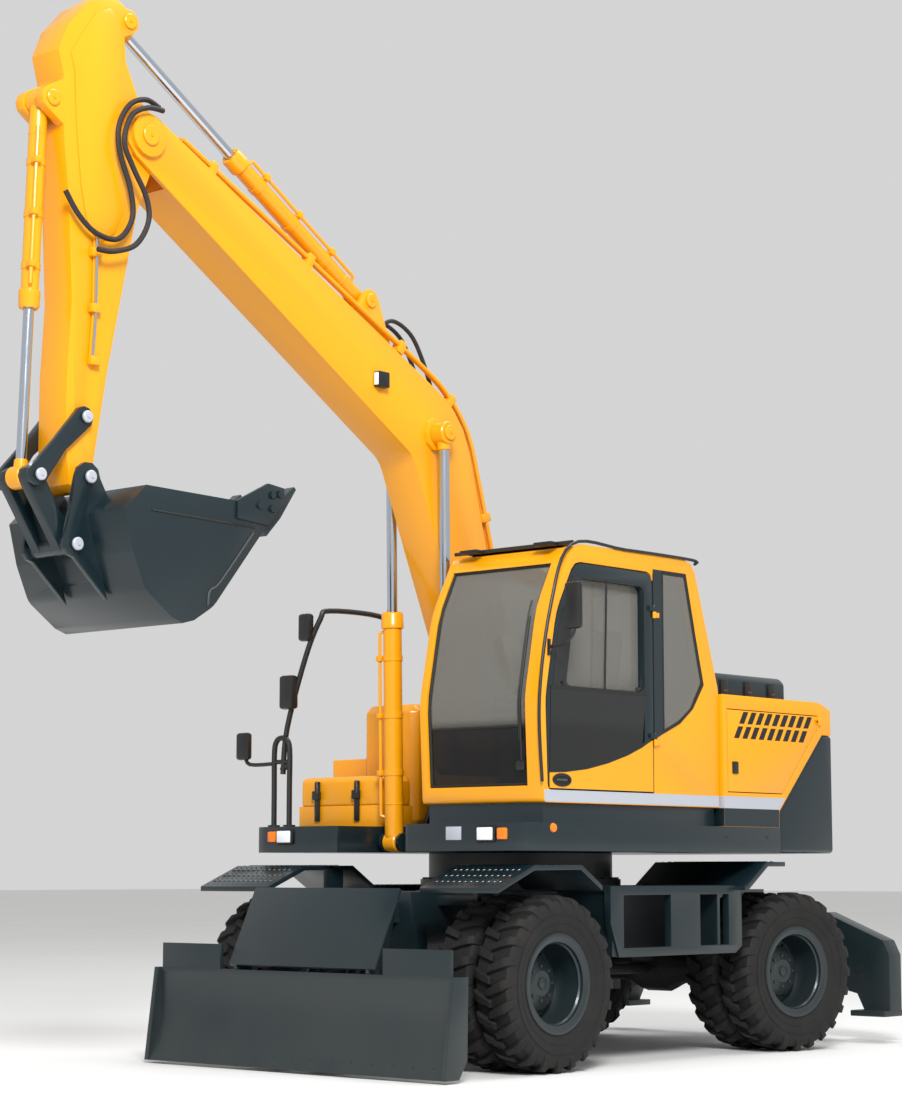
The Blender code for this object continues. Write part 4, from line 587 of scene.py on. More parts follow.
# the pins that cylinders share with the boom, arm and links, as (y, z)
BOOM_LIFT_PIN, ARM_FOOT_PIN, ARM_EYE_PIN = (-1.10, 3.95), (-1.64, 4.744), (-3.69, 6.03)
BUCKET_FOOT_PIN, BUCKET_EYE_PIN = (-4.24, 5.45), (-4.315, 3.312)
for hand, side in (("_left", 1), ("_right", -1)):
    cylinder("blade", hand, (-1.70, 0.93), (-2.10, 0.32), side * 0.165, 0.49, 0.04, 0.022, 0.50, 0.045,
             (0.045, 0.042), GREEN)
    cylinder("boom", hand, (-1.06, 1.36), BOOM_LIFT_PIN, BOOM_X + side * 0.23, 1.47, 0.06, 0.034, 1.48,
             0.05, (0.062, 0.075), YELLOW, (side * 0.85, -0.53))
cylinder("arm", "", ARM_FOOT_PIN, ARM_EYE_PIN, BOOM_X, 1.34, 0.055, 0.033, 1.38, 0.05, (0.065, 0.07),
         YELLOW, (0.6, 0.8))
cylinder("bucket", "", BUCKET_FOOT_PIN, BUCKET_EYE_PIN, BOOM_X, 1.19, 0.05, 0.030, 1.22, 0.055,
         (0.06, 0.065), YELLOW, (0.8, 0.6))

# ---- Blade, stabilisers and side boxes
# Pressed and welded plate in the chassis colour. The blade has a bolted cutting edge, and its
# upper edge carries a sloping guard over the cylinders.
blade_parts = [(from_cad("blade", 0.004), GREEN)]
edge_bolt = mesh_of(bolt(0.012, 0.007))
edge_bolt.transform(Matrix.Rotation(-math.pi / 2, 4, "Z"))
blade_parts.append((repeated(edge_bolt, ROW, Matrix.Translation(at(-1.12, -2.291, 0.075)), Count=15,
                             Step=(0.16, 0, 0), Finish=GREEN), GREEN))
piece("dozer_blade", "blade", blade_parts, ["blade"])
for hand, side in (("left", 1), ("right", -1)):
    pins = [lathe("y", at(side * px, 2.35, pz), [(-0.085, 0.0), (-0.085, pr), (0.085, pr), (0.085, 0.0)],
                  32) for px, pz, pr in ((1.0, 0.50, 0.028), (0.62, 0.62, 0.02))]
    piece("stabiliser_leg_" + hand, "stabiliser_" + hand,
          [(from_cad("stabiliser_" + hand, 0.006), GREEN)] + [(p, GREEN) for p in pins],
          ["stabiliser_" + hand])
    start = 0.36 if side > 0 else -1.24
    side_parts = [(from_cad(hand + "_side_box", 0.004), GREEN)]
    side_parts += chequer_plate(at(start, 0.82, 1.238), 0.87, 0.19, 0.0, GREEN)
    side_parts += chequer_plate(at(start, 0.60, 1.093), 0.87, 0.24, 0.58, GREEN)
    side_parts += chequer_plate(at(0.74 if side > 0 else -1.15, -0.70, 1.0855), 0.42, 1.2, 0.0, GREEN)
    piece(hand + "_steps", "chassis", side_parts, [hand + "_side_box"])

# ---- Upper frame, counterweight and hood
# The turntable frame and cast counterweight are grey-green, the pressed hood above them yellow.
# A silver band runs along the side, and the hood's doors close on black rubber; their vent slots are thin
# dark plates in the same rubber colour, painted shade where the openings are.
STEEL = enamel("worn cast steel", "3A3C3E", "5E5648", 0.5, 0.42)
SILVER = enamel("silver-grey band of enamel", "A9ADB6", "A19F98", 0.5, 0.3)
BLACK = enamel("black powder coat", "0D0F10", "2B2A28", 0.4, 0.45)


def lengthwise(outline):
    """An outline of (y, z) points given from the middle between the axles."""
    return [(y + AXLES_MIDDLE, z) for y, z in outline]


def flat(axis, outline, low, high, width=0.003):
    """A plate: outline (y, z) for x, (x, z) for y, (x, y) for z, with its thickness along axis."""
    spots = {"x": lambda u, v, w: (w, u, v), "y": lambda u, v, w: (u, w, v), "z": lambda u, v,
             w: (u, v, w)}[axis]
    bm = bmesh.new()
    face = bm.faces.new([bm.verts.new(spots(u, v, low)) for u, v in outline])
    grown = bmesh.ops.extrude_face_region(bm, geom=[face])["geom"]
    step = Vector(spots(0.0, 0.0, high - low))
    bmesh.ops.translate(bm, vec=step, verts=[g for g in grown if isinstance(g, bmesh.types.BMVert)])
    bmesh.ops.recalc_face_normals(bm, faces=bm.faces)
    soften(bm, width)
    return mesh_of(bm)


def moulded(name, colour, rough, pattern, scale, strength, metallic=0.0):
    """A part moulded, drawn or silvered in one colour, with a fine pattern of ribs, flutes or grain."""
    made = bpy.data.materials.new(name)
    made.use_nodes = True
    tree = made.node_tree
    shader = tree.nodes["Principled BSDF"]
    shader.inputs["Base Color"].default_value = linear(colour)
    shader.inputs["Roughness"].default_value = rough
    shader.inputs["Metallic"].default_value = metallic
    place = add(tree, "ShaderNodeTexCoord", {}).outputs["Object"]
    relief = add(tree, pattern, {"Vector": place, "Scale": scale}).outputs["Fac"]
    bump = add(tree, "ShaderNodeBump", {"Height": relief, "Strength": strength,
                                        "Distance": 0.001}).outputs["Normal"]
    tree.links.new(bump, shader.inputs["Normal"])
    return made


# ribs and flutes of lamps are 4 mm apart; 16 and 25 mm are what can be seen
SEAL_AND_VENT_SHADE = moulded("extruded rubber seal and painted vent shade", "141414", 0.7, "ShaderNodeTexNoise", 120.0, 0.2)
AMBER = moulded("moulded amber lens", "F07A12", 0.2, "ShaderNodeTexWave", 60.0, 0.4)
LENS = moulded("clear lamp glass", "E6EAEC", 0.12, "ShaderNodeTexWave", 40.0, 0.3)

deck = [(from_cad("upper_frame", 0.010, 3), GREEN)]
for x, y in ((0.92, -1.60), (-0.90, -1.47)):
    deck += [(block(at(x - 0.075, y - 0.018, 1.345), at(x + 0.075, y + 0.01, 1.445), 0.012), BLACK),
             (block(at(x - 0.060, y - 0.026, 1.357), at(x + 0.060, y - 0.01, 1.433), 0.012), LENS)]
    amber_x = x + (0.125 if x > 0 else -0.115)
    deck.append((block(at(amber_x - 0.035, y - 0.020, 1.36), at(amber_x + 0.035, y + 0.03, 1.43), 0.010),
                 AMBER))
deck.append((lathe("x", at(1.23, -1.36, 1.43), [(0.0, 0.0), (0.0, 0.028), (0.010, 0.024), (0.013, 0.0)],
                   28), AMBER))
deck.append((block(at(0.60, -1.606, 1.36), at(0.72, -1.598, 1.44), 0.002), SILVER))
for y in (-1.1, -0.6, -0.1, 0.4, 0.85):
    deck.append((lathe("x", at(1.229, y, 1.40), [(0.0, 0.014), (0.004, 0.012), (0.004, 0.0)], 20), GREEN))
piece("turntable", "upper", deck, ["upper_frame"])
weight = [(from_cad("counterweight", 0.012, 3), GREEN)]
for x in (-0.75, 0.75):
    weight.append((lathe("z", at(x, 1.75, 2.085), [(0.0, 0.05), (0.008, 0.05), (0.008, 0.032), (0.0, 0.0)],
                         32), BLACK))
piece("cast_counterweight", "upper", weight, ["counterweight"])
HOOD_SIDE = 1.2252             # just proud of the hood's side skin
hood = [(from_cad("hood", 0.010, 3), YELLOW)]
hood_bands = ((GREEN, ((0.378, 1.463), (0.995, 1.463), (0.995, 1.578), (0.378, 1.578))),
              (SILVER, ((0.378, 1.578), (0.995, 1.578), (1.07, 1.655), (0.378, 1.655))))
for side in (1, -1):
    skin = sorted((side * HOOD_SIDE, side * 1.2266))
    for finish, corners_of_band in hood_bands:
        hood.append((flat("x", lengthwise(corners_of_band), *skin, 0.0), finish))
hood += [(block(at(1.12, 0.3736, 1.463), at(1.2266, 0.3749, 1.578), 0.0), GREEN),
         (block(at(1.12, 0.3736, 1.578), at(1.2266, 0.3749, 1.655), 0.0), SILVER)]
piece("pressed_hood", "upper", hood, ["hood"])
cover_low, cover_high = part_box("engine_cover")
lid = [(from_cad("engine_cover", 0.014, 3), GREEN)]
for x in (-0.30, -0.05, 0.20, 0.45, 0.70):
    lid.append((block((x, cover_low.y + 0.08, cover_high.z - 0.010),
                      (x + 0.07, cover_high.y - 0.08, cover_high.z - 0.001), 0.004), GREEN))
for y in (cover_low.y + 0.20, (cover_low.y + cover_high.y) / 2, cover_high.y - 0.20):
    lid.append((block((cover_high.x - 0.012, y - 0.04, cover_low.z + 0.02),
                      (cover_high.x + 0.014, y + 0.04, cover_high.z - 0.045), 0.006), BLACK))
    lid.append((pipe([Vector((cover_high.x + 0.016, y - 0.02, cover_low.z + 0.05)),
                      Vector((cover_high.x + 0.016, y + 0.02, cover_low.z + 0.05))], 0.006), STEEL))
piece("engine_lid", "engine_cover", lid, ["engine_cover"])
slot_shape = [(0.0, 0.0), (0.055, 0.0), (0.105, 0.078), (0.050, 0.078)]
for hand, side in (("left", 1), ("right", -1)):
    door = [(from_cad("side_door_" + hand, 0.005), YELLOW)]
    face = side * HOOD_SIDE
    # Each vent slot is a thin dark plate on the door's face: painted shade where the opening is.
    for z, start, count in ((2.128, 0.555, 9), (2.032, 0.495, 9)):
        shape = [(start + u, z + v) for u, v in slot_shape]
        vent_shade = flat("x", lengthwise(shape), *sorted((face, face + side * 0.0012)), 0)
        door.append((repeated(vent_shade, ROW, Matrix(), Count=count, Step=(0, 0.093, 0), Finish=SEAL_AND_VENT_SHADE), SEAL_AND_VENT_SHADE))
    latch = sorted((face - side * 0.002, face + side * 0.012))
    door.append((block(at(latch[0], 0.47, 1.80), at(latch[1], 0.53, 1.88), 0.006), BLACK))
    piece("engine_door_" + hand, "side_door_" + hand, door, ["side_door_" + hand])
piece("engine_block", "upper", [(from_cad("engine", 0.02), IRON)], ["engine"])

# ---- Tank, tool box and rails on the right
# Yellow sheet steel tank and lockable tool box beside the boom, and black powder-coated
# tube rails that also carry the mirrors.
tank = [(from_cad("fuel_tank", 0.02, 3), YELLOW), (lathe("z", at(-0.70, -0.10, 2.27),
    [(0.0, 0.055), (0.03, 0.055), (0.036, 0.048), (0.036, 0.0)], 32), BLACK)]
piece("tank_shell", "upper", tank, ["fuel_tank"])
piece("tool_box_tray", "upper", [(from_cad("tool_box", 0.004), YELLOW)], ["tool_box"])


def smooth(points, steps=6):
    """Points on a smooth curve through the given ones."""
    path = []
    ends = [points[0]] + list(points) + [points[-1]]
    for i in range(1, len(ends) - 2):
        a, b, c, d = (Vector(p) for p in ends[i - 1:i + 3])
        for k in range(steps):
            t = k / steps
            path.append(0.5 * ((2 * b) + (c - a) * t + (2 * a - 5 * b + 4 * c - d) * t ** 2
                               + (3 * b - 3 * c + d - a) * t ** 3))
    return path + [Vector(points[-1])]


lid = [(from_cad("tool_box_lid", 0.020, 3), YELLOW)]
for x in (-1.02, -0.66):
    lid += [(block(at(x - 0.022, -1.068, 1.50), at(x + 0.022, -1.0545, 1.76), 0.005), BLACK),
            (block(at(x - 0.035, -1.082, 1.64), at(x + 0.035, -1.060, 1.70), 0.008), BLACK),
            (pipe(smooth([at(x, -1.07, 1.76), at(x + 0.02, -1.085, 1.73), at(x + 0.02, -1.085, 1.68)], 4),
                  0.006), STEEL)]
piece("tool_box_cover", "tool_box_lid", lid, ["tool_box_lid"])
MIRROR = moulded("silvered mirror glass", "D9DEE2", 0.05, "ShaderNodeTexNoise", 12.0, 0.05, 1.0)
RAIL_Y = -1.40


def mirror_head(low, high):
    """A black housing with its silvered glass on the side that looks back."""
    back = block(low, high, 0.02)
    glass = block((low[0] + 0.012, high[1] - 0.004, low[2] + 0.014),
                  (high[0] - 0.012, high[1] + 0.001, high[2] - 0.014), 0.0)
    return [(back, BLACK), (glass, MIRROR)]


rails = [pipe(smooth([at(-1.08, RAIL_Y, 1.462), at(-1.08, RAIL_Y, 1.7), at(-1.08, RAIL_Y, 1.95),
                      at(-1.055, RAIL_Y, 2.02), at(-1.01, RAIL_Y, 2.035), at(-0.965, RAIL_Y, 2.02),
                      at(-0.94, RAIL_Y, 1.95), at(-0.94, RAIL_Y, 1.7), at(-0.94, RAIL_Y, 1.462)], 4),
              0.018), pipe([at(-1.08, RAIL_Y, 1.88), at(-0.94, RAIL_Y, 1.88)], 0.015),
         pipe(smooth([at(-1.08, RAIL_Y, 1.87), at(-1.29, RAIL_Y - 0.02, 1.87),
                      at(-1.33, RAIL_Y - 0.02, 1.93)], 4), 0.013), pipe(smooth([at(-1.0, RAIL_Y, 1.80),
                          at(-0.98, -1.385, 2.10), at(-0.86, -1.34, 2.56), at(-0.77, -1.30, 2.80),
                          at(-0.765, -1.22, 2.862), at(-0.82, -0.70, 2.872), at(-0.85, -0.51, 2.80),
                          at(-0.87, -0.46, 2.55), at(-0.87, -0.46, 2.272)], 5), 0.018),
         pipe([at(-0.94, RAIL_Y, 1.86), at(-1.01, RAIL_Y, 1.83)], 0.018)]
rail_parts = [(r, BLACK) for r in rails]
rail_parts += mirror_head(at(-1.40, RAIL_Y - 0.05, 1.90), at(-1.28, RAIL_Y - 0.005, 2.08))
rail_parts += mirror_head(at(-1.02, -1.43, 2.22), at(-0.90, -1.36, 2.44))
rail_parts += mirror_head(at(-0.90, -1.38, 2.66), at(-0.80, -1.32, 2.84))
for x in (-1.08, -0.94):
    rail_parts.append((lathe("z", at(x, RAIL_Y, 1.46), [(0.002, 0.0), (0.002, 0.04), (0.012, 0.04),
        (0.014, 0.02)], 24), BLACK))
piece("rails_and_mirrors", "upper", rail_parts, ["right_handrail"])
near = mirror_head(at(1.325, -1.37, 2.60), at(1.445, -1.325, 2.88))
near += [(pipe(smooth([at(1.205, -1.361, 2.50), at(1.33, -1.361, 2.52), at(1.39, -1.35, 2.58),
                       at(1.39, -1.345, 2.66)], 4), 0.011), BLACK), (block(at(1.2005, -1.372, 2.45),
                           at(1.213, -1.35, 2.55), 0.003), BLACK)]
piece("cab_mirror", "upper", near, ["left_mirror"])

# ---- Cab
# Welded tube frame with yellow skins, a dark door frame, and tinted safety glass in black rubber, whose
# colour is painted shade low down and a pale painted light higher up.
# Inside: fabric suspension seat, armrest consoles and a steering wheel on a dark floor mat.
GLASS = bpy.data.materials.new("tinted safety glass")
GLASS.use_nodes = True
pane = GLASS.node_tree
pane_place = add(pane, "ShaderNodeTexCoord", {}).outputs["Object"]
# The glass's colour is painted light and shade by height: near black below z 2.02, pale grey above z 2.09.
pane_height = add(pane, "ShaderNodeSeparateXYZ", {"Vector": pane_place}).outputs["Z"]
painted_pane_light = add(pane, "ShaderNodeMapRange", {"Value": pane_height, "From Min": 2.02,
                                        "From Max": 2.09}).outputs["Result"]
pane_painted_light_and_shade = add(pane, "ShaderNodeMix", {0: painted_pane_light, 6: linear("151617"), 7: linear("74736D")},
               data_type="RGBA").outputs[2]
pane.links.new(pane_painted_light_and_shade, pane.nodes["Principled BSDF"].inputs["Base Color"])
pane.nodes["Principled BSDF"].inputs["Roughness"].default_value = 0.06
pane.nodes["Principled BSDF"].inputs["Alpha"].default_value = 0.62
CLOTH = bpy.data.materials.new("woven seat fabric")
CLOTH.use_nodes = True
weave = CLOTH.node_tree
weave_place = add(weave, "ShaderNodeTexCoord", {}).outputs["Object"]
# threads are 1 mm apart; 8 mm is what can be seen
warp = add(weave, "ShaderNodeTexWave", {"Vector": weave_place, "Scale": 125.0},
           bands_direction="X").outputs["Fac"]
weft = add(weave, "ShaderNodeTexWave", {"Vector": weave_place, "Scale": 125.0},
           bands_direction="Z").outputs["Fac"]
threads = add(weave, "ShaderNodeMath", {0: warp, 1: weft}, operation="MULTIPLY").outputs[0]
cloth_mix = add(weave, "ShaderNodeMix", {0: threads, 6: linear("2E2F31"), 7: linear("55565A")},
                data_type="RGBA").outputs[2]
weave.links.new(cloth_mix, weave.nodes["Principled BSDF"].inputs["Base Color"])
weave_bump = add(weave, "ShaderNodeBump", {"Height": threads, "Strength": 0.5,
                                           "Distance": 0.002}).outputs["Normal"]
weave.links.new(weave_bump, weave.nodes["Principled BSDF"].inputs["Normal"])
weave.nodes["Principled BSDF"].inputs["Roughness"].default_value = 0.9

# The dark glass keeps that painted shade below z 2.02 and is near black above it too.
DARK_GLASS = GLASS.copy()
DARK_GLASS.name = "dark tinted safety glass"
DARK_GLASS.node_tree.nodes["Principled BSDF"].inputs["Alpha"].default_value = 0.93
next(n for n in DARK_GLASS.node_tree.nodes if n.type == "MIX").inputs[7].default_value = linear("1F2021")
cab = [(from_cad("cab_shell", 0.008, 3), YELLOW)]
cab += [(block(at(0.33, -1.10, 3.145), at(1.10, -1.02, 3.163), 0.008), BLACK),
        (block(at(0.32, -0.95, 3.144), at(1.11, -0.05, 3.156), 0.008), BLACK)]
for x in (0.42, 1.02):
    cab += [(block(at(x - 0.07, -1.20, 3.14), at(x + 0.07, -1.13, 3.165), 0.006), BLACK)]
front_of = {}
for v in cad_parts["windscreen"].data.vertices:
    level = round(v.co.z, 3)
    front_of[level] = min(front_of.get(level, 9.0), v.co.y)
bow = sorted(front_of.items())


def front_y(z):
    """Where the windscreen's outer face is at a height."""
    for (low, near), (high, far) in zip(bow, bow[1:]):
        if low <= z <= high:
            return near + (far - near) * (z - low) / (high - low)
    return bow[0][1] if z < bow[0][0] else bow[-1][1]


def up_the_glass(x, low, high, proud, count=12):
    """Points up the windscreen at one x, which stand proud of its bow."""
    heights = [low + (high - low) * i / count for i in range(count + 1)]
    return [Vector((x, front_y(z) - proud, z)) for z in heights]


glass_low, glass_high = bow[0][0] + 0.01, bow[-1][0] - 0.01
gasket = up_the_glass(0.293, glass_low, glass_high, 0.002) + up_the_glass(1.072, glass_low, glass_high,
    0.002)[::-1]
cab.append((pipe(gasket + [gasket[0]], 0.012), SEAL_AND_VENT_SHADE))
cab.append((pipe([Vector((0.30, front_y(2.035) - 0.001, 2.035)),
                  Vector((1.065, front_y(2.035) - 0.001, 2.035))], 0.009), SEAL_AND_VENT_SHADE))
cab.append((pipe(up_the_glass(1.105, glass_low, glass_high, -0.004), 0.013), SEAL_AND_VENT_SHADE))
cab.append((pipe(up_the_glass(1.035, 1.80, 2.70, 0.022), 0.007), BLACK))
cab.append((pipe(up_the_glass(1.015, 1.95, 2.80, 0.014), 0.005), BLACK))
cab.append((block(Vector((1.0, front_y(1.80) - 0.04, 1.77)), Vector((1.065, front_y(1.80) + 0.002, 1.83)),
                  0.008), BLACK))
# black gutter and trim where the roof meets the windscreen and the door
cab.append((pipe(smooth([at(1.206, -1.43, 1.70), at(1.206, -1.452, 2.2), at(1.206, -1.34, 2.76),
                         at(1.200, -1.135, 3.14), at(1.205, -0.6, 3.156), at(1.205, 0.085, 3.156),
                         at(1.205, 0.115, 3.13)], 6), 0.010), BLACK))
cab.append((pipe([at(0.25, -1.122, 3.156), at(1.20, -1.122, 3.156)], 0.012), BLACK))
SKIN_X = 1.2003                # just proud of the cab's left skin


def side_plate(outline, thick, finish, hole=None):
    """A plate on the cab's left side, or a frame where a hole with as many corners is given."""
    spot = lengthwise(outline)
    if hole is None:
        return flat("x", spot, SKIN_X, SKIN_X + thick, 0.0), finish
    inner = lengthwise(hole)
    bm = bmesh.new()
    loops = [[bm.verts.new((x, *p)) for p in ring] for ring, x in ((spot, SKIN_X), (spot, SKIN_X + thick),
        (inner, SKIN_X + thick), (inner, SKIN_X))]
    for one, other in zip(loops, loops[1:] + loops[:1]):
        for i in range(len(one)):
            j = (i + 1) % len(one)
            bm.faces.new((one[i], one[j], other[j], other[i]))
    bmesh.ops.recalc_face_normals(bm, faces=bm.faces)
    return mesh_of(bm), finish


quarter = [(-0.235, 2.03), (-0.06, 2.10), (0.08, 2.20), (0.20, 2.36), (0.12, 2.66), (0.02, 3.06),
           (-0.235, 3.06)]
quarter_hole = [(-0.222, 2.055), (-0.07, 2.12), (0.05, 2.20), (0.165, 2.37), (0.09, 2.66), (-0.005, 3.035),
                (-0.222, 3.035)]
cab.append(side_plate(quarter, 0.004, SEAL_AND_VENT_SHADE, quarter_hole))
cab.append(side_plate(quarter_hole, 0.002, GLASS))
cab.append(side_plate([(-0.325, 1.99), (-0.235, 2.03), (-0.235, 3.06), (-0.325, 3.06)], 0.003, GREEN))
cab.append((block(at(1.152, -0.3285, 1.99), at(1.200, -0.3245, 3.03), 0.0), SEAL_AND_VENT_SHADE))
cab.append(side_plate([(-1.40, 1.585), (0.355, 1.585), (0.355, 1.655), (-1.405, 1.655)], 0.0015, SILVER))
piece("cab_body", "upper", cab, ["cab_shell"])
for cad, body in (("windscreen", "upper"), ("quarter_glass", "upper"), ("right_glass", "upper"),
                  ("rear_glass", "upper"), ("door_glass", "cab_door")):
    piece(cad + "_pane", body, [(from_cad(cad, 0.0), GLASS)], [cad])
door = [(from_cad("cab_door", 0.006), GREEN)]
sweep = [(-1.355, 1.755), (-1.20, 1.762), (-1.00, 1.785), (-0.80, 1.825), (-0.60, 1.88), (-0.45, 1.935),
         (-0.345, 1.985)]
door.append(side_plate([(-1.355, 1.665), (-0.345, 1.665)] + sweep[::-1], 0.004, YELLOW))
door.append(side_plate([(y, z + 0.010) for y, z in sweep[:-1]] + [(-0.412, 2.262), (-1.34, 2.262)], 0.0025,
                       DARK_GLASS))
upper_light = [(-1.20, 2.28), (-0.42, 2.28), (-0.42, 2.94), (-1.08, 2.94), (-1.14, 2.61)]
upper_edge = [(-1.325, 2.27), (-0.412, 2.27), (-0.412, 2.955), (-1.125, 2.955), (-1.265, 2.62)]
door.append(side_plate(upper_edge, 0.002, DARK_GLASS, upper_light))
door += [side_plate([(-1.34, 2.258), (-0.405, 2.258), (-0.405, 2.276), (-1.34, 2.276)], 0.005, SEAL_AND_VENT_SHADE),
         side_plate([(-0.83, 2.276), (-0.815, 2.276), (-0.79, 2.95), (-0.805, 2.95)], 0.004, SEAL_AND_VENT_SHADE)]
for y in (-1.22, -0.50):
    door.append((block(at(1.203, y - 0.02, 2.285), at(1.212, y + 0.02, 2.305), 0.003), BLACK))
oval = [(-1.245 + 0.088 * math.cos(a), 1.715 + 0.040 * math.sin(a))
        for a in (math.tau * i / 28 for i in range(28))]
bowl = [(-1.245 + 0.070 * math.cos(a), 1.712 + 0.026 * math.sin(a))
        for a in (math.tau * i / 28 for i in range(28))]
door += [side_plate(oval, 0.009, BLACK, bowl), side_plate(bowl, 0.0045, SEAL_AND_VENT_SHADE),
         (block(at(1.205, -1.30, 1.708), at(1.2125, -1.20, 1.722), 0.003), STEEL)]
piece("cab_door_leaf", "cab_door", door, ["cab_door"])
piece("controls", "upper", [(from_cad("console", 0.005), BLACK)], ["console"])
PAD_VOXEL, PAD_SWELL = 0.008, 0.014


def stuffed(mesh):
    pad = bpy.data.objects.new("pad", mesh)
    scene.collection.objects.link(pad)
    remesh = pad.modifiers.new("even cloth", "REMESH")
    remesh.mode, remesh.voxel_size = "VOXEL", PAD_VOXEL
    bpy.context.view_layer.update()
    even = bpy.data.meshes.new_from_object(pad.evaluated_get(bpy.context.evaluated_depsgraph_get()))
    pad.modifiers.clear()
    pad.data = even
    before = [v.co.copy() for v in even.vertices]
    cloth = pad.modifiers.new("cover", "CLOTH")
    cloth.settings.use_pressure = True
    cloth.settings.uniform_pressure_force = 4.0
    cloth.settings.effector_weights.gravity = 0.0
    for step in range(1, 21):
        scene.frame_set(step)
    swollen = bpy.data.meshes.new_from_object(pad.evaluated_get(bpy.context.evaluated_depsgraph_get()))
    for v, old in zip(swollen.vertices, before):
        move = v.co - old
        if move.length > PAD_SWELL:
            v.co = old + move.normalized() * PAD_SWELL
    pad.modifiers.clear()
    bpy.data.objects.remove(pad)
    scene.frame_set(1)
    return swollen


seat_low, seat_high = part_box("driver_seat")
bm = bmesh.new()
middle_x = (seat_low.x + seat_high.x) / 2
for low, high, tilt in (((-0.225, -0.825, 1.995), (0.225, -0.345, 2.105), 0.0),
                        ((-0.205, -0.39, 2.11), (0.205, -0.28, 2.72), -0.20)):
    cushion = bmesh.new()
    bmesh.ops.create_cube(cushion, size=1.0, matrix=Matrix.Diagonal((*(Vector(high) - Vector(low)), 1.0)))
    bmesh.ops.subdivide_edges(cushion, edges=cushion.edges, cuts=3, use_grid_fill=True)
    half = (Vector(high) - Vector(low)) / 2
    for v in cushion.verts:
        u, w, h = (v.co[i] / half[i] for i in range(3))
        v.co *= 1.0 - 0.05 * (u * u * w * w + w * w * h * h + u * u * h * h)
    place = Matrix.Translation(at(middle_x, 0,
                                  0) + (Vector(low) + Vector(high)) / 2) @ Matrix.Rotation(tilt, 4, "X")
    pad = stuffed(mesh_of(cushion))
    pad.transform(place)
    bm.from_mesh(pad)
pedestal = block(at(middle_x - 0.14, -0.71, 1.652), at(middle_x + 0.14, -0.39, 1.99), 0.01)
seat = piece("suspension_seat", "upper", [(mesh_of(bm), CLOTH), (pedestal, BLACK)],
             ["driver_seat"], 60.0)

# ---- Boom and its plumbing
# A curved welded box beam with cast ends; steel pipes run along its back, clamped in pairs, and
# rubber hoses bridge the joints. Pins have bolted keepers.
HOSE = moulded("braided hydraulic hose rubber", "1E1B1D", 0.55, "ShaderNodeTexNoise", 160.0, 0.3)


def facing(head, place, side):
    """A bolt head at its place, which looks along +X or, where side is -1, along -X."""
    turn = Matrix() if side > 0 else Matrix.Rotation(math.pi, 4, "Z")
    bmesh.ops.transform(head, matrix=Matrix.Translation(place) @ turn, verts=head.verts)
    return mesh_of(head)


def pin_head(x, spot, side, radius, finish):
    """A pin's end with a keeper plate and its bolt, on a face that looks along side."""
    line = [(0.0, radius), (0.012, radius), (0.016, radius - 0.006), (0.016, 0.0)]
    face = lathe("x", at(x, *spot), [(a * side, r) for a, r in line], 32)
    return [(face, finish), (facing(bolt(0.010, 0.01), at(x + side * 0.012, *spot), side), finish)]


boom = [(from_cad("boom", 0.007, 2), YELLOW)]
back = [(-3.30, 5.375), (-2.955, 5.205), (-2.3, 4.88), (-1.75, 4.60), (-1.20, 4.33), (-0.98, 4.19),
        (-0.80, 3.98), (-0.70, 3.70), (-0.585, 3.30), (-0.42, 2.70)]
back_way = [Vector(p) for p in back]
for offset, lift in ((0.135, 0.050), (0.095, 0.066), (-0.095, 0.066), (-0.135, 0.050)):
    raised = []
    for i, spot in enumerate(back_way):
        way = (back_way[min(i + 1, len(back) - 1)] - back_way[max(i - 1, 0)]).normalized()
        raised.append(spot + Vector((-way.y, way.x)) * lift)
    boom.append((pipe(smooth([at(BOOM_X + offset, *spot) for spot in raised], 6), 0.013), YELLOW))
for low, high, share in ((0, 1, 0.7), (2, 3, 0.1), (3, 4, 0.6), (5, 6, 0.1), (7, 8, 0.6)):
    way = back_way[high] - back_way[low]
    spot = back_way[low] + way * share
    turn = Matrix.Rotation(math.atan2(way.y, way.x), 4, "X")
    out = Vector((-way.normalized().y, way.normalized().x)) * 0.045
    for side in (1, -1):
        middle = at(BOOM_X + side * 0.113, spot.x + out.x, spot.y + out.y)
        boom.append((block(middle - Vector((0.036, 0.028, 0.048)), middle + Vector((0.036, 0.028, 0.040)),
                           0.006, turn), YELLOW))
        boom.append((lathe(Matrix.Translation(middle) @ turn, None, [(0.038, 0.012), (0.052, 0.012),
            (0.054, 0.0)], 12), IRON))
for x in (BOOM_X + 0.05, BOOM_X - 0.05):
    boom.append((pipe(smooth([at(x, -1.55, 4.56), at(x, -1.40, 4.66), at(x, -1.22, 4.60),
                              at(x, -1.10, 4.44), at(x, -1.02, 4.27)], 6), 0.014), HOSE))
for side in (1, -1):
    boom += pin_head(BOOM_X + side * 0.18, (-3.57, 5.37), side, 0.06, YELLOW)
    boom += pin_head(BOOM_X + side * 0.096, ARM_FOOT_PIN, side, 0.045, YELLOW)
boom += [(block(at(0.05, -1.67, 4.18), at(0.10, -1.57, 4.28), 0.008), BLACK),
         (block(at(0.06, -1.678, 4.19), at(0.094, -1.664, 4.27), 0.006), LENS)]
piece("boom_beam", "boom", boom, ["boom"])
for hand, side in (("left", 1), ("right", -1)):
    ends = pin_head(BOOM_X + side * 0.281, BOOM_LIFT_PIN, side, 0.05, YELLOW)
    piece("boom_pin_" + hand, "boom", ends)

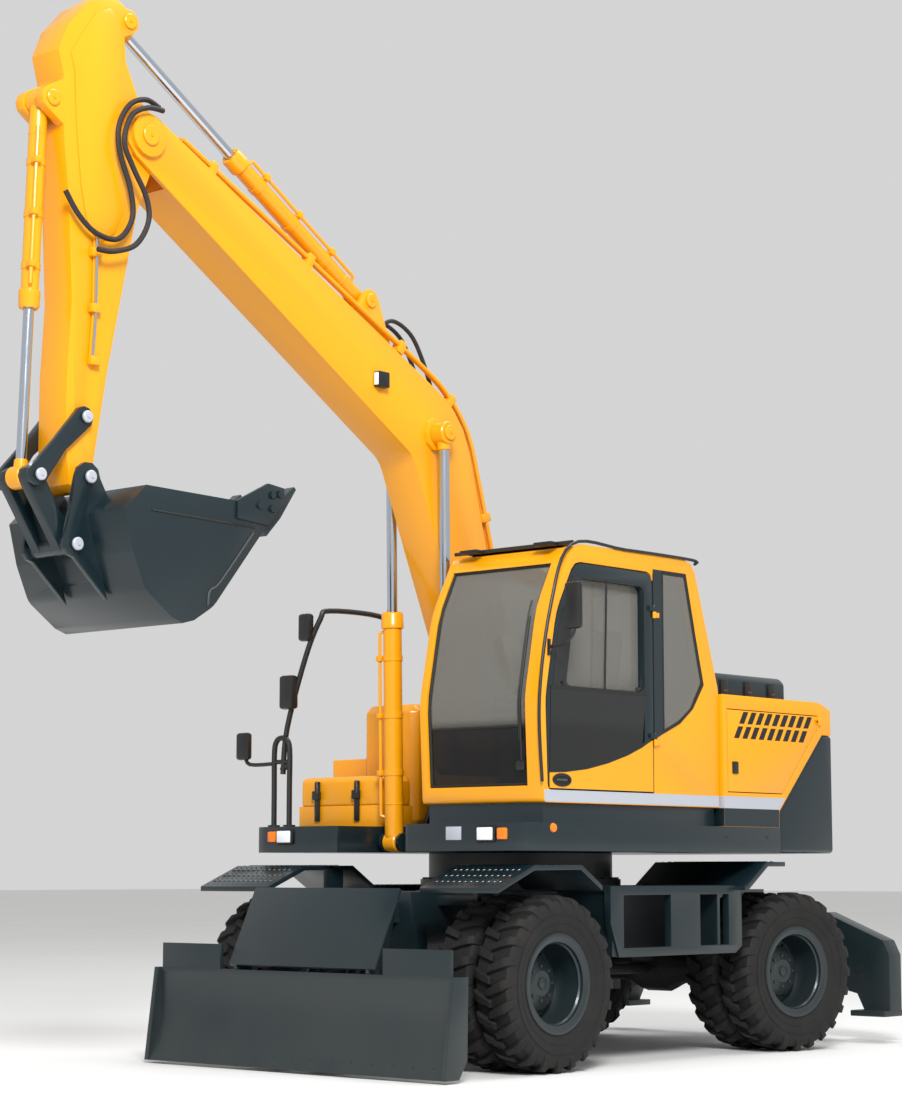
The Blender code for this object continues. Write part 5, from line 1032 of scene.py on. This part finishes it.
first = [(-3.50, 5.55), (-3.60, 5.575), (-3.72, 5.52), (-3.80, 5.38), (-3.79, 5.22), (-3.71, 5.03),
         (-3.69, 4.86), (-3.79, 4.72), (-3.95, 4.72), (-4.08, 4.80), (-4.18, 4.92)]
second = [(-3.50, 5.525), (-3.62, 5.515), (-3.74, 5.44), (-3.79, 5.28), (-3.72, 5.14), (-3.62, 4.99),
          (-3.60, 4.85), (-3.69, 4.70), (-3.85, 4.63), (-3.97, 4.62)]
flex = [(pipe(smooth([at(0.072, *p) for p in first], 6), 0.016), HOSE),
        (pipe(smooth([at(0.108, *p) for p in second], 6), 0.016), HOSE)]
hoses = piece("boom_to_arm_hoses", None, flex, ["arm_hoses"])
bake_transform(hoses)

# ---- Arm, bucket linkage and bucket
# The arm is a tapering box beam; forged links in grey-green turn the bucket, a welded shell with bolted side
# cutters and cast teeth in the same grey-green.
arm = [(from_cad("arm", 0.007, 2), YELLOW)]
stiffener = [(-4.05, 5.86), (-3.94, 6.02), (-3.84, 6.07), (-3.77, 6.02), (-3.75, 5.90), (-3.745, 5.76),
             (-3.68, 5.60), (-3.655, 5.40), (-3.66, 5.20), (-3.71, 4.92), (-3.78, 4.76), (-3.86, 4.70),
             (-3.93, 4.72), (-3.99, 4.82), (-4.03, 5.00), (-4.06, 5.25), (-4.07, 5.33), (-4.09, 5.64),
             (-4.12, 5.74)]
arm.append((flat("x", lengthwise(stiffener), 0.0195, 0.027, 0.003), YELLOW))
for x in (0.030, 0.052):
    arm.append((pipe([at(x, -3.93, 4.70), at(x, -3.93, 4.25), at(x, -3.95, 3.98)], 0.009),
                CHROME if x > 0.04 else YELLOW))
for z in (4.62, 4.30, 4.0):
    arm.append((block(at(0.018, -3.965, z - 0.025), at(0.062, -3.895, z + 0.025), 0.005), YELLOW))
for side in (1, -1):
    for spot in (ARM_EYE_PIN, BUCKET_FOOT_PIN):
        arm += pin_head(BOOM_X + side * 0.12, spot, side, 0.045, YELLOW)
piece("arm_beam", "arm", arm, ["arm"])
links = [(from_cad("idler_links", 0.006), GREEN)]
for side in (1, -1):
    for spot in ((-3.997, 3.671), BUCKET_EYE_PIN):
        links += pin_head(BOOM_X + side * 0.175, spot, side, 0.034, SILVER)
piece("idlers", "idler_links", links, ["idler_links"])
piece("push_rod", "push_link", [(from_cad("push_link", 0.006), GREEN)], ["push_link"])
bucket = [(from_cad("bucket", 0.004), GREEN)]
for side in (1, -1):
    for spot in ((-3.992, 3.332), (-4.078, 2.951)):
        bucket += pin_head(BOOM_X + side * 0.208, spot, side, 0.036, SILVER)
    for spot in ((-2.90, 3.32), (-2.90, 3.24), (-2.84, 3.33), (-3.0, 3.25)):
        bucket.append((facing(bolt(0.024, 0.014), at(BOOM_X + side * 0.518, *spot), side), GREEN))
    side_x = BOOM_X + side * 0.501
    bucket.append((pipe([at(side_x, -3.80, 3.14), at(side_x, -3.02, 3.12)], 0.006), BLACK))
    bucket.append((pipe(smooth([at(side_x, -3.03, 3.09), at(side_x, -3.28, 2.79), at(side_x, -3.36, 2.73),
                                at(side_x, -3.375, 2.65)], 5), 0.007), STEEL))
piece("bucket_shell", "bucket", bucket, ["bucket"])
